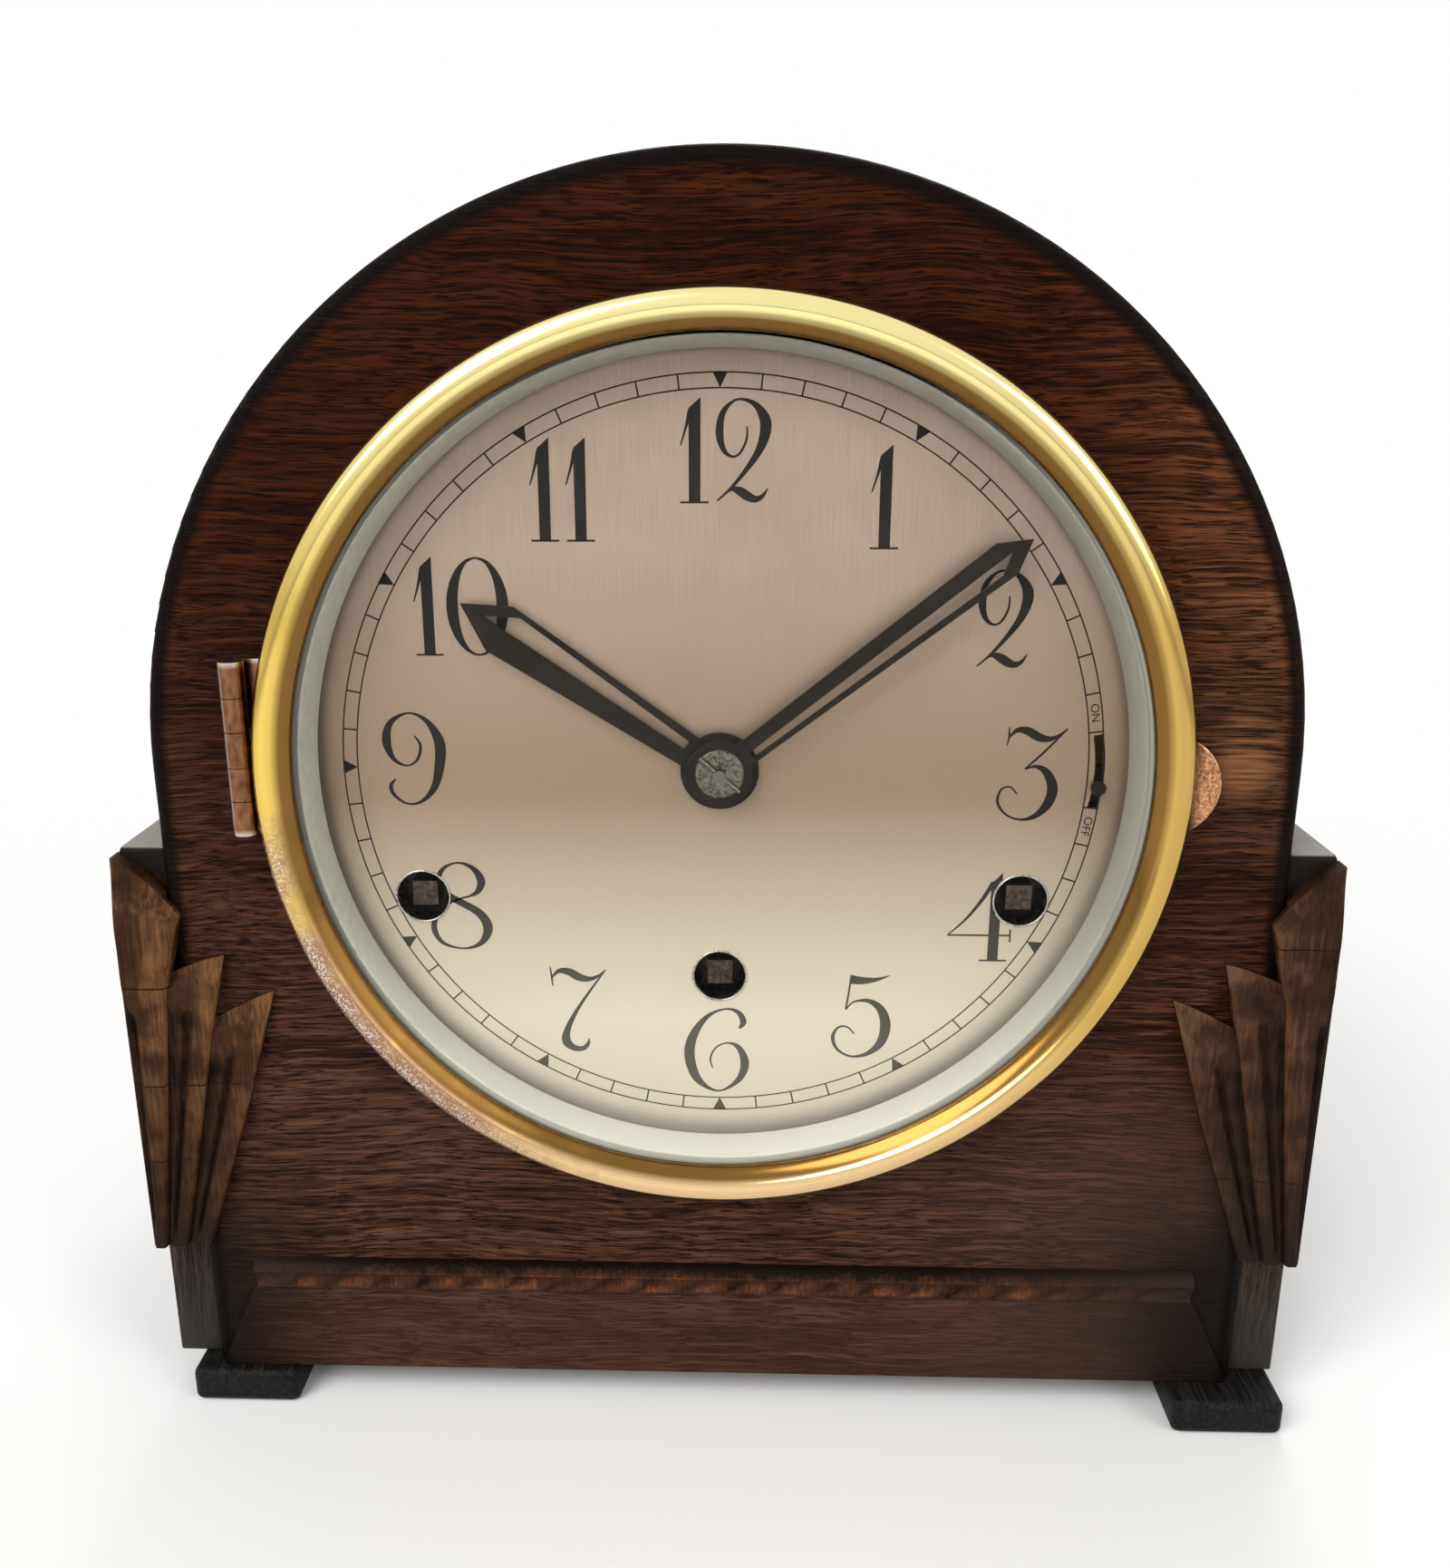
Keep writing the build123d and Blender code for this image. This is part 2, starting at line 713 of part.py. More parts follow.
# Bezel ring: rounded brass section with a rebate for the glass
with BuildPart() as bezel_ring:
    with BuildSketch(dial_section()):
        with BuildLine():
            shoulder = -(bezel_lift + bezel_edge)
            crest_radius = bezel_radius - bezel_crest_inset
            rebate_radius = glass_radius + glass_clearance
            Polyline(
                (bezel_lip_radius, -bezel_lip_proud),
                (bezel_lip_radius, lip_back),
                (rebate_radius, lip_back),
                (rebate_radius, -bezel_lift),
                (bezel_radius, -bezel_lift),
                (bezel_radius, shoulder),
            )
            crest = (crest_radius, -bezel_proud)
            RadiusArc((bezel_radius, shoulder), crest, -bezel_outer_round)
            RadiusArc(crest, (bezel_lip_radius, -bezel_lip_proud), -bezel_inner_round)
        make_face()
    revolve(axis=dial_axis)
save(bezel_ring, "bezel_ring")

# Convex glass behind the bezel's lip
glass_edge = bezel_lip_radius - glass_dome_inset
with BuildPart() as bezel_glass:
    with BuildSketch(dial_section()):
        with BuildLine():
            front_apex = lip_back - glass_rise
            rim_back = lip_back + glass_thickness
            dome = (glass_edge**2 + glass_rise**2) / (2 * glass_rise)
            half_edge = glass_edge / 2
            half_sag = dome - sqrt(dome**2 - half_edge**2)
            ThreePointArc((0, front_apex), (half_edge, front_apex + half_sag), (glass_edge, lip_back))
            Polyline(
                (glass_edge, lip_back),
                (glass_radius, lip_back),
                (glass_radius, rim_back),
                (glass_edge, rim_back),
            )
            back_apex = front_apex + glass_thickness
            ThreePointArc((glass_edge, rim_back), (half_edge, back_apex + half_sag), (0, back_apex))
            Line((0, back_apex), (0, front_apex))
        make_face()
    revolve(axis=dial_axis)
save(bezel_glass, "bezel_glass")

# Sight ring: pale cone from the glass back to the dial
with BuildPart() as sight_ring:
    with BuildSketch(dial_section()):
        with BuildLine():
            sight_top = bezel_lip_radius - sight_wall
            Polyline(
                (glass_radius, rim_back),
                (sight_top, rim_back),
                (sight_radius, sight_depth),
                (sight_radius + sight_wall, sight_depth),
                (bezel_lip_radius, -bezel_lift),
                (glass_radius, -bezel_lift),
                close=True,
            )
        make_face()
    revolve(axis=dial_axis)
save(sight_ring, "sight_ring")

# Bezel hinge: knuckles one, three and five go with the bezel, two and four with the case
bezel_hinge_low = dial_z + bezel_hinge_lift - bezel_hinge_length / 2
knuckle_pitch = bezel_hinge_length / bezel_knuckles
strap_front = -bezel_lift
strap_back = -bezel_lift + bezel_leaf_thickness
with BuildPart() as bezel_hinge_leaf:
    strap_left = bezel_hinge_x + bezel_knuckle_radius + bezel_strap_gap
    strap_right = bezel_hinge_x + bezel_leaf_reach
    hinge_high = bezel_hinge_low + bezel_hinge_length
    upright_plate(strap_left, strap_right, strap_front, strap_back, bezel_hinge_low, hinge_high)
    for step in range(0, bezel_knuckles, 2):
        low = bezel_hinge_low + step * knuckle_pitch
        high = low + knuckle_pitch
        upright_plate(bezel_hinge_x, strap_right, strap_front, strap_back, low, high)
        upright_barrel(bezel_hinge_x, bezel_hinge_depth, low, high, bezel_knuckle_radius)
        bore = bezel_pin_radius + running_clearance
        upright_barrel(bezel_hinge_x, bezel_hinge_depth, low, high, bore, Mode.SUBTRACT)
save(bezel_hinge_leaf, "bezel_hinge_leaf")

with BuildPart() as bezel_hinge_case_leaf:
    half_leaf = bezel_leaf_thickness / 2
    plate_left = bezel_hinge_x - half_leaf
    plate_right = bezel_hinge_x + half_leaf
    upright_plate(plate_left, plate_right, 0, bezel_mortise_depth, bezel_hinge_low, hinge_high)
    for step in range(1, bezel_knuckles, 2):
        low = bezel_hinge_low + step * knuckle_pitch + knuckle_gap
        high = low + knuckle_pitch - 2 * knuckle_gap
        upright_plate(plate_left, plate_right, bezel_hinge_depth, 0, low, high)
        upright_barrel(bezel_hinge_x, bezel_hinge_depth, low, high, bezel_knuckle_radius)
        bore = bezel_pin_radius + running_clearance
        upright_barrel(bezel_hinge_x, bezel_hinge_depth, low, high, bore, Mode.SUBTRACT)
save(bezel_hinge_case_leaf, "bezel_hinge_case_leaf")

with BuildPart() as bezel_hinge_pin:
    upright_barrel(bezel_hinge_x, bezel_hinge_depth, bezel_hinge_low, hinge_high, bezel_pin_radius)
save(bezel_hinge_pin, "bezel_hinge_pin")

# Thumb tab: half disc soldered behind the bezel's right edge
tab_x = bezel_radius + tab_reach - tab_radius
with BuildPart() as thumb_tab:
    with BuildSketch(on_dial(strap_back, (tab_x, 0))):
        Circle(tab_radius)
        with Locations((-tab_radius, 0)):
            Rectangle(2 * tab_radius, 2 * tab_radius, mode=Mode.SUBTRACT)
    extrude(amount=bezel_leaf_thickness)
save(thumb_tab, "thumb_tab")

# Dial plate with raised rims round the winding holes and an arc slot for the chime lever
pin_angle = degrees(asin(lever_pin_radius / lever_length)) + lever_slot_spare
slot_low = lever_rest + lever_down - pin_angle
slot_sweep = lever_up - lever_down + 2 * pin_angle
with BuildPart() as dial_plate:
    bar(dial_depth, dial_back, dial_radius)
    for place in barrel_places:
        rim = winding_hole_radius + winding_rim_width
        bar(dial_depth - winding_rim_proud, dial_back, rim, place)
        bar(dial_depth - winding_rim_proud, dial_back, winding_hole_radius, place, Mode.SUBTRACT)
    bar(dial_depth, dial_back, hour_pipe_radius + dial_hole_gap, centre, Mode.SUBTRACT)
    with BuildSketch(on_dial(dial_back, lever_pivot)):
        with BuildLine():
            outer = CenterArc((0, 0), lever_length + lever_slot_half_width, slot_low, slot_sweep)
            inner = CenterArc((0, 0), lever_length - lever_slot_half_width, slot_low, slot_sweep)
            Line(outer @ 0, inner @ 0)
            Line(outer @ 1, inner @ 1)
        make_face()
    extrude(amount=dial_thickness, mode=Mode.SUBTRACT)
save(dial_plate, "dial_plate")


def hand(depth, turn, length, barb, root, boss, hole, slot_foot, slot):
    """Skeleton hand on a round boss: arrow blade with a long slot, both measured down from the tip."""
    barb_z = length - barb[1]
    slot_corners = [(x, length - drop) for x, drop in slot]
    with BuildSketch(on_dial(depth + hand_thickness, centre, turn)) as blade:
        with BuildLine():
            Polyline((-root, 0), (-barb[0], barb_z), (0, length), (barb[0], barb_z), (root, 0), close=True)
        make_face()
        with BuildLine():
            Polyline(*slot_foot, *slot_corners, close=True)
        make_face(mode=Mode.SUBTRACT)
        Circle(boss)
        Circle(hole, mode=Mode.SUBTRACT)
    extrude(blade.sketch, amount=hand_thickness)


with BuildPart() as minute_hand:
    hand(
        minute_hand_depth,
        minute_hand_turn,
        minute_hand_length,
        minute_barb,
        minute_root,
        minute_boss_radius,
        cannon_pipe_radius + hand_fit,
        minute_slot_foot,
        minute_slot,
    )
save(minute_hand, "minute_hand")

with BuildPart() as hour_hand:
    hand(
        hour_hand_depth,
        hour_hand_turn,
        hour_hand_length,
        hour_barb,
        hour_root,
        hour_boss_radius,
        hour_pipe_radius + hand_fit,
        hour_slot_foot,
        hour_slot,
    )
save(hour_hand, "hour_hand")

# Washer and taper pin that hold the minute hand on the centre arbor
washer_front = minute_hand_depth - washer_thickness
pin_depth = washer_front - taper_pin_radius
arbor_tip = pin_depth - 2 * taper_pin_radius
with BuildPart() as hand_washer:
    bar(washer_front, minute_hand_depth, washer_radius)
    chamfer(hand_washer.faces().sort_by(Axis.Y)[0].edges(), length=washer_chamfer)
    bar(washer_front, minute_hand_depth, centre_arbor_radius + hand_fit, mode=Mode.SUBTRACT)
save(hand_washer, "hand_washer")

pin_plane = Plane(
    origin=(0, y_face + pin_depth, dial_z),
    x_dir=(0, 1, 0),
    z_dir=(cos(radians(taper_pin_turn)), 0, sin(radians(taper_pin_turn))),
)
with BuildPart() as taper_pin:
    with BuildSketch(pin_plane.offset(-taper_pin_length / 2)):
        Circle(taper_pin_tip_radius)
    with BuildSketch(pin_plane.offset(taper_pin_length / 2)):
        Circle(taper_pin_radius)
    loft()
save(taper_pin, "taper_pin")

# Movement plates with pivot holes; the front plate carries two riveted studs
thin_pivots = (intermediate, third, escape)


def plate(front, back):
    """Brass plate with rounded corners and its pillar holes."""
    with BuildSketch(on_dial(back, (0, (plate_top + plate_bottom) / 2))) as section:
        RectangleRounded(2 * plate_half_width, plate_top - plate_bottom, plate_corner)
    extrude(section.sketch, amount=back - front)
    for place in plate_pillar_places:
        bar(front, back, pillar_neck_radius + running_clearance, place, Mode.SUBTRACT)
    for place in thin_pivots:
        bar(front, back, pivot_radius + running_clearance, place, Mode.SUBTRACT)
    bar(front, back, hammer_arbor_radius + running_clearance, hammer_pivot, Mode.SUBTRACT)
    bar(front, back, centre_arbor_radius + running_clearance, centre, Mode.SUBTRACT)


stud_front = hour_wheel_depth - motion_wheel_thickness
with BuildPart() as front_plate:
    plate(front_plate_depth, front_plate_back)
    bar(front_plate_depth, front_plate_back, pivot_radius + running_clearance, pallet, Mode.SUBTRACT)
    for place in barrel_places:
        hole = winding_arbor_radius + running_clearance
        bar(front_plate_depth, front_plate_back, hole, place, Mode.SUBTRACT)
    for place in fixing_places:
        hole = fixing_shank_radius + running_clearance
        bar(front_plate_depth, front_plate_back, hole, place, Mode.SUBTRACT)
    minute_wheel_back = cannon_depth + motion_wheel_thickness
    bar(minute_wheel_back + end_shake, front_plate_depth, stud_collar_radius, minute_stud)
    bar(stud_front, front_plate_depth, stud_radius, minute_stud)
    bar(lever_back + end_shake, front_plate_depth, stud_collar_radius, lever_pivot)
    bar(lever_depth - end_shake, front_plate_depth, stud_radius, lever_pivot)
save(front_plate, "front_plate")

with BuildPart() as back_plate:
    plate(back_plate_depth, back_plate_back)
    hole = thin_arbor_radius + running_clearance
    bar(back_plate_depth, back_plate_back, hole, pallet, Mode.SUBTRACT)
    for place in barrel_places:
        hole = winding_pivot_radius + running_clearance
        bar(back_plate_depth, back_plate_back, hole, place, Mode.SUBTRACT)
save(back_plate, "back_plate")

with BuildPart() as plate_pillars:
    for place in plate_pillar_places:
        nut_front = front_plate_depth - pillar_nut_height
        nut_back = back_plate_back + pillar_nut_height
        bar(nut_front, nut_back, pillar_neck_radius, place)
        bar(front_plate_back, back_plate_depth, pillar_radius, place)
        for depth in (front_plate_depth, nut_back):
            with BuildSketch(on_dial(depth, place)):
                RegularPolygon(pillar_nut_radius, 6)
            extrude(amount=pillar_nut_height)
save(plate_pillars, "plate_pillars")

# Shouldered bolts that hold the movement off the front board
with BuildPart() as movement_bolts:
    for place in fixing_places:
        head_back = front_plate_back + fixing_head_height
        bar(board_thickness - fixing_bite, head_back, fixing_shank_radius, place)
        bar(board_thickness, front_plate_depth, fixing_radius, place)
        bar(front_plate_back, head_back, fixing_head_radius, place)
save(movement_bolts, "movement_bolts")

# Spring barrels with their great wheels, and the winding arbors that run through them
barrel_names = ("strike", "going", "chime")
for place, name in zip(barrel_places, barrel_names):
    with BuildPart() as barrel:
        phase = direction(going, intermediate)
        wheel_back = barrel_front + barrel_wheel_thickness
        gear(barrel_front, wheel_back, barrel_teeth, barrel_module, place, phase)
        bar(wheel_back, barrel_back, barrel_wall_radius, place)
        hole = winding_arbor_radius + running_clearance
        bar(barrel_front, barrel_back, hole, place, Mode.SUBTRACT)
    save(barrel, f"{name}_barrel")

for place, name in zip(barrel_places, barrel_names):
    with BuildPart() as winding_arbor:
        ratchet_back = front_plate_depth - ratchet_gap
        ratchet_front = ratchet_back - ratchet_thickness
        square_front = dial_back + winding_square_gap
        arbor_back = back_plate_depth - end_shake
        slab(square_front, ratchet_front, place, winding_square, winding_square)
        with BuildSketch(on_dial(ratchet_back, place)):
            teeth_outline(ratchet_teeth, ratchet_radius, ratchet_root, 0, ratchet_lean)
        extrude(amount=ratchet_thickness)
        bar(ratchet_back, arbor_back, winding_arbor_radius, place)
        bar(arbor_back, back_plate_back, winding_pivot_radius, place)
    save(winding_arbor, f"{name}_winding_arbor")


def arbor(radius, at, pivot):
    """Arbor between the plates, with a pivot at each end."""
    bar(front_plate_back + end_shake, back_plate_depth - end_shake, radius, at)
    bar(front_plate_depth, back_plate_back, pivot, at)


# Going train
with BuildPart() as intermediate_wheel:
    arbor(train_arbor_radius, intermediate, pivot_radius)
    pinion_phase = gap_phase(pinion_leaves, direction(intermediate, going))
    pinion_back = barrel_front + barrel_wheel_thickness + pinion_overlap
    pinion_front = barrel_front - pinion_overlap
    gear(pinion_front, pinion_back, pinion_leaves, barrel_module, intermediate, pinion_phase)
    wheel_back = intermediate_depth + wheel_thickness
    wheel_phase = direction(intermediate, centre)
    gear(intermediate_depth, wheel_back, intermediate_teeth, intermediate_module, intermediate, wheel_phase)
save(intermediate_wheel, "intermediate_wheel")

with BuildPart() as centre_wheel:
    bar(arbor_tip, back_plate_back, centre_arbor_radius)
    bar(front_plate_back + end_shake, back_plate_depth - end_shake, train_arbor_radius)
    wheel_phase = direction(centre, third)
    wheel_back = centre_wheel_depth + wheel_thickness
    gear(centre_wheel_depth, wheel_back, centre_teeth, centre_module, centre, wheel_phase)
    pinion_phase = gap_phase(pinion_leaves, direction(centre, intermediate))
    pinion_back = intermediate_depth + wheel_thickness + pinion_overlap
    pinion_front = intermediate_depth - pinion_overlap
    gear(pinion_front, pinion_back, pinion_leaves, intermediate_module, centre, pinion_phase)
    with BuildSketch(pin_plane.offset(-taper_pin_length / 2)):
        Circle(taper_pin_radius)
    extrude(amount=taper_pin_length, mode=Mode.SUBTRACT)
save(centre_wheel, "centre_wheel")

with BuildPart() as third_wheel:
    arbor(thin_arbor_radius, third, pivot_radius)
    pinion_phase = gap_phase(small_pinion_leaves, direction(third, centre))
    pinion_back = centre_wheel_depth + wheel_thickness + pinion_overlap
    pinion_front = centre_wheel_depth - pinion_overlap
    gear(pinion_front, pinion_back, small_pinion_leaves, centre_module, third, pinion_phase)
    wheel_phase = direction(third, escape)
    wheel_back = third_wheel_depth + wheel_thickness
    gear(third_wheel_depth, wheel_back, third_teeth, third_module, third, wheel_phase)
save(third_wheel, "third_wheel")

with BuildPart() as escape_wheel:
    arbor(thin_arbor_radius, escape, pivot_radius)
    pinion_phase = gap_phase(small_pinion_leaves, direction(escape, third))
    pinion_back = third_wheel_depth + wheel_thickness + pinion_overlap
    pinion_front = third_wheel_depth - pinion_overlap
    gear(pinion_front, pinion_back, small_pinion_leaves, third_module, escape, pinion_phase)
    with BuildSketch(on_dial(escape_depth + pallet_thickness, escape)):
        teeth_outline(escape_teeth, escape_radius, escape_radius - escape_tooth, 0, escape_lean)
    extrude(amount=pallet_thickness)
save(escape_wheel, "escape_wheel")

# Motion work
with BuildPart() as cannon_pinion:
    cannon_back = cannon_depth + motion_wheel_thickness + end_shake
    phase = direction(centre, minute_stud)
    gear(cannon_depth - end_shake, cannon_back, cannon_teeth, motion_module, centre, phase)
    bar(minute_hand_depth, cannon_depth, cannon_pipe_radius)
    bar(minute_hand_depth, cannon_back, centre_arbor_radius + hand_fit, mode=Mode.SUBTRACT)
save(cannon_pinion, "cannon_pinion")

with BuildPart() as minute_wheel:
    phase = gap_phase(minute_wheel_teeth, direction(minute_stud, centre))
    gear(cannon_depth, minute_wheel_back, minute_wheel_teeth, motion_module, minute_stud, phase)
    phase = gap_phase(minute_pinion_teeth, direction(minute_stud, centre))
    gear(stud_front + end_shake, cannon_depth, minute_pinion_teeth, hour_module, minute_stud, phase)
    bar(stud_front, minute_wheel_back, stud_radius + running_clearance, minute_stud, Mode.SUBTRACT)
save(minute_wheel, "minute_wheel")

with BuildPart() as hour_wheel:
    phase = direction(centre, minute_stud)
    hour_wheel_back = hour_wheel_depth + motion_wheel_thickness
    gear(hour_wheel_depth, hour_wheel_back, hour_wheel_teeth, hour_module, centre, phase)
    bar(hour_hand_depth, hour_wheel_depth, hour_pipe_radius)
    bar(hour_hand_depth, hour_wheel_back, cannon_pipe_radius + running_clearance, mode=Mode.SUBTRACT)
save(hour_wheel, "hour_wheel")

# Pallets: anchor over the escape wheel, with its arbor and the crutch behind the back plate
with BuildPart() as pallets:
    crutch_back = crutch_depth + crutch_thickness
    bar(front_plate_back + end_shake, crutch_back, thin_arbor_radius, pallet)
    bar(front_plate_depth, front_plate_back + end_shake, pivot_radius, pallet)
    with BuildSketch(on_dial(escape_depth + pallet_thickness, escape)):
        reach = escape_radius + pallet_clearance
        for lean in (-anchor_span / 2, anchor_span / 2):
            nib = step_from((0, 0), reach, 90 + lean)
            heel = step_from((0, 0), reach + anchor_arm, 90 + lean)
            with BuildLine():
                crest = (0, pallet_distance + anchor_arm)
                crotch = (0, pallet_distance - anchor_arm)
                Polyline(crest, heel, nib, crotch, close=True)
            make_face()
        with Locations((0, pallet_distance)):
            Circle(anchor_arm)
    extrude(amount=pallet_thickness)
    crutch_place = (0, pallet[1] - crutch_length / 2)
    slab(crutch_depth, crutch_back, crutch_place, crutch_width, crutch_length)
    prong = rod_radius + fork_gap + fork_wall / 2
    fork_place = pallet[1] - crutch_length + fork_wall
    for side in (-1, 1):
        fork_at = (side * prong, fork_place)
        slab(crutch_depth, rod_depth + fork_reach, fork_at, fork_wall, 2 * fork_wall)
    slab(crutch_depth, crutch_back, (0, fork_place), 2 * prong + fork_wall, 2 * fork_wall)
save(pallets, "pallets")

# Suspension cock on the back plate, with a slit for the spring
cock_place = (0, pallet[1] + cock_gap + cock_height / 2)
with BuildPart() as suspension_cock:
    cock_back = rod_depth + spring_width / 2 + cock_wall
    slab(back_plate_back, cock_back, cock_place, cock_width, cock_height)
    slit_front = rod_depth - spring_width / 2 - end_shake
    slit_place = (0, cock_place[1] - cock_wall)
    slab(slit_front, cock_back, slit_place, cock_slit, cock_height, mode=Mode.SUBTRACT)
save(suspension_cock, "suspension_cock")

# Pendulum
with BuildPart() as suspension_spring:
    spring_place = (0, pallet[1] + (spring_above - spring_below) / 2)
    spring_height = spring_above + spring_below
    slab(
        rod_depth - spring_width / 2,
        rod_depth + spring_width / 2,
        spring_place,
        spring_thickness,
        spring_height,
    )
save(suspension_spring, "suspension_spring")

rod_bottom = floor_top + rod_floor_gap
bob_z = rod_bottom + rod_spare + rating_nut_height + bob_radius
rod_top = dial_z + pallet[1] - spring_below
with BuildPart() as pendulum_rod:
    upright_barrel(0, rod_depth, rod_bottom, rod_top, rod_radius)
save(pendulum_rod, "pendulum_rod")

with BuildPart() as pendulum_bob:
    with BuildSketch(Plane(origin=(0, y_face + rod_depth, bob_z), x_dir=(1, 0, 0), z_dir=(0, 0, 1))):
        with BuildLine():
            half = bob_thickness / 2
            waist = (bob_radius * bob_curve[0], half * bob_curve[1])
            ThreePointArc((0, -half), (waist[0], -waist[1]), (bob_radius, 0))
            ThreePointArc((bob_radius, 0), waist, (0, half))
            Line((0, half), (0, -half))
        make_face()
    revolve(axis=Axis((0, y_face + rod_depth, bob_z), (0, 1, 0)))
    bob_bore = rod_radius + running_clearance
    bob_low = bob_z - bob_radius
    upright_barrel(0, rod_depth, bob_low, bob_z + bob_radius, bob_bore, Mode.SUBTRACT)
save(pendulum_bob, "pendulum_bob")

with BuildPart() as rating_nut:
    nut_low = bob_low - rating_nut_height
    upright_barrel(0, rod_depth, nut_low, bob_low, rating_nut_radius)
    upright_barrel(0, rod_depth, nut_low, bob_low, rod_radius + running_clearance, Mode.SUBTRACT)
save(rating_nut, "rating_nut")

# Chime rods in their block on the bottom board
block_left = inner_half - block_inset - block_width
chime_rod_z = floor_top + chime_rod_height
with BuildPart() as chime_rod_block:
    block_front = (chime_rod_depths[0] + chime_rod_depths[-1] - block_depth) / 2
    block_right = block_left + block_width
    block_top = floor_top + block_height
    upright_plate(block_left, block_right, block_front, block_front + block_depth, floor_top, block_top)
    for depth in chime_rod_depths:
        hole_start = (block_left, y_face + depth, chime_rod_z)
        with BuildSketch(Plane(origin=hole_start, x_dir=(0, 1, 0), z_dir=(1, 0, 0))):
            Circle(chime_rod_radius + running_clearance)
        extrude(amount=block_width / 2, mode=Mode.SUBTRACT)
save(chime_rod_block, "chime_rod_block")

with BuildPart() as chime_rods:
    for depth, length in zip(chime_rod_depths, chime_rod_lengths):
        rod_end = (block_left + block_width / 2, y_face + depth, chime_rod_z)
        with BuildSketch(Plane(origin=rod_end, x_dir=(0, 1, 0), z_dir=(-1, 0, 0))):
            Circle(chime_rod_radius)
        extrude(amount=length)
save(chime_rods, "chime_rods")

# Hammers: hub on the hammer arbor, slanted arm and an upright head over its rod
with BuildPart() as hammer_arbor:
    bar(front_plate_depth, back_plate_back, hammer_arbor_radius, hammer_pivot)
save(hammer_arbor, "hammer_arbor")

head_x = block_left - hammer_block_gap
head_bottom = chime_rod_z + chime_rod_radius + hammer_gap
head_place = (head_x, head_bottom + hammer_head_length / 2 - dial_z)
arm_turn = -direction(hammer_pivot, head_place)
arm_length = sqrt((head_place[0] - hammer_pivot[0]) ** 2 + (head_place[1] - hammer_pivot[1]) ** 2)
arm_middle = ((head_place[0] + hammer_pivot[0]) / 2, (head_place[1] + hammer_pivot[1]) / 2)
for number, depth in enumerate(chime_rod_depths, start=1):
    with BuildPart() as hammer:
        hub_front = depth - hammer_hub_length / 2
        bar(hub_front, depth + hammer_hub_length / 2, hammer_hub_radius, hammer_pivot)
        arm_front = depth - hammer_arm_thickness / 2
        arm_back = depth + hammer_arm_thickness / 2
        slab(arm_front, arm_back, arm_middle, arm_length, hammer_arm_width, arm_turn)
        upright_barrel(head_x, depth, head_bottom, head_bottom + hammer_head_length, hammer_head_radius)
        bore = hammer_arbor_radius + running_clearance
        bar(hub_front, depth + hammer_hub_length / 2, bore, hammer_pivot, Mode.SUBTRACT)
    save(hammer, f"chime_hammer_{number}")

# Chime lever: arm on its stud behind the dial, pin through the slot and a small knob
lever_end = step_from(lever_pivot, lever_length, lever_rest)
lever_middle = step_from(lever_pivot, lever_length / 2, lever_rest)
with BuildPart() as chime_lever:
    bar(lever_depth, lever_back, lever_hub_radius, lever_pivot)
    slab(lever_depth, lever_back, lever_middle, lever_length, lever_width, -lever_rest)
    knob_back_depth = dial_depth - end_shake
    bar(knob_back_depth - lever_knob_height, lever_back, lever_pin_radius, lever_end)
    bar(knob_back_depth - lever_knob_height, knob_back_depth, lever_knob_radius, lever_end)
    bar(lever_depth, lever_back, stud_radius + running_clearance, lever_pivot, Mode.SUBTRACT)
save(chime_lever, "chime_lever")
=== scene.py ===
# %% [markdown]
# # An arch-top chiming mantel clock
# The clock is a small oak case with a round glazed door in front of a silvered dial. The solids of
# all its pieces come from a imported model, in metres, and already stand where they belong. This
# lesson dresses them: finishes for the solids whose shape is right, and finer meshes for the carving,
# the turned brass, the glass and the print on the dial.

from contextlib import contextmanager
from math import cos, exp, pi, radians, sin, sqrt

import bmesh
import bpy
from mathutils import Matrix, Vector, noise


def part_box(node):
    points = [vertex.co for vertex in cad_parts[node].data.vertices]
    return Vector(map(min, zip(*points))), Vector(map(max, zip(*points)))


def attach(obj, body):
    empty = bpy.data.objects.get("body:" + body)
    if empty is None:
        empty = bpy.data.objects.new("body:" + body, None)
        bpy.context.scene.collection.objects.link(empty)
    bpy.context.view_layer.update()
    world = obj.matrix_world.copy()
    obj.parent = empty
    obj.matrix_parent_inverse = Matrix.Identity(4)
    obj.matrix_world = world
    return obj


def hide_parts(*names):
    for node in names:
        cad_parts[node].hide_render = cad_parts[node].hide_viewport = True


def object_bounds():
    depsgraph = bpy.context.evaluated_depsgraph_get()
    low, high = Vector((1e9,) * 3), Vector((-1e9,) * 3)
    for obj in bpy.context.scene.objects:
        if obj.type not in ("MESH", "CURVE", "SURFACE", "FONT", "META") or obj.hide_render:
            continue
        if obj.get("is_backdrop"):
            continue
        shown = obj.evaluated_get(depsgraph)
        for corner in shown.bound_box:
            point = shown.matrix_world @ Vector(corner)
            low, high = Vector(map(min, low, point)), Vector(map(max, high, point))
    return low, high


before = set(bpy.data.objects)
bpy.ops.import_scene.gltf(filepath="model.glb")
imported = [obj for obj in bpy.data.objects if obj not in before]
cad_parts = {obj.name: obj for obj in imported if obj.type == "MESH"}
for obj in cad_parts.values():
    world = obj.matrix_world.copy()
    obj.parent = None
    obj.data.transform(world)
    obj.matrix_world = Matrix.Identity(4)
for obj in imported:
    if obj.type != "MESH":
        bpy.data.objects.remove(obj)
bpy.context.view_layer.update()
scene = bpy.context.scene
MM = 0.001
board_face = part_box("front_board")[0].y
bezel_low, bezel_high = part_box("bezel_ring")
dial_z = (bezel_low.z + bezel_high.z) / 2
print("nodes", len(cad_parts), "dial centre at", round(dial_z / MM, 1), "mm")
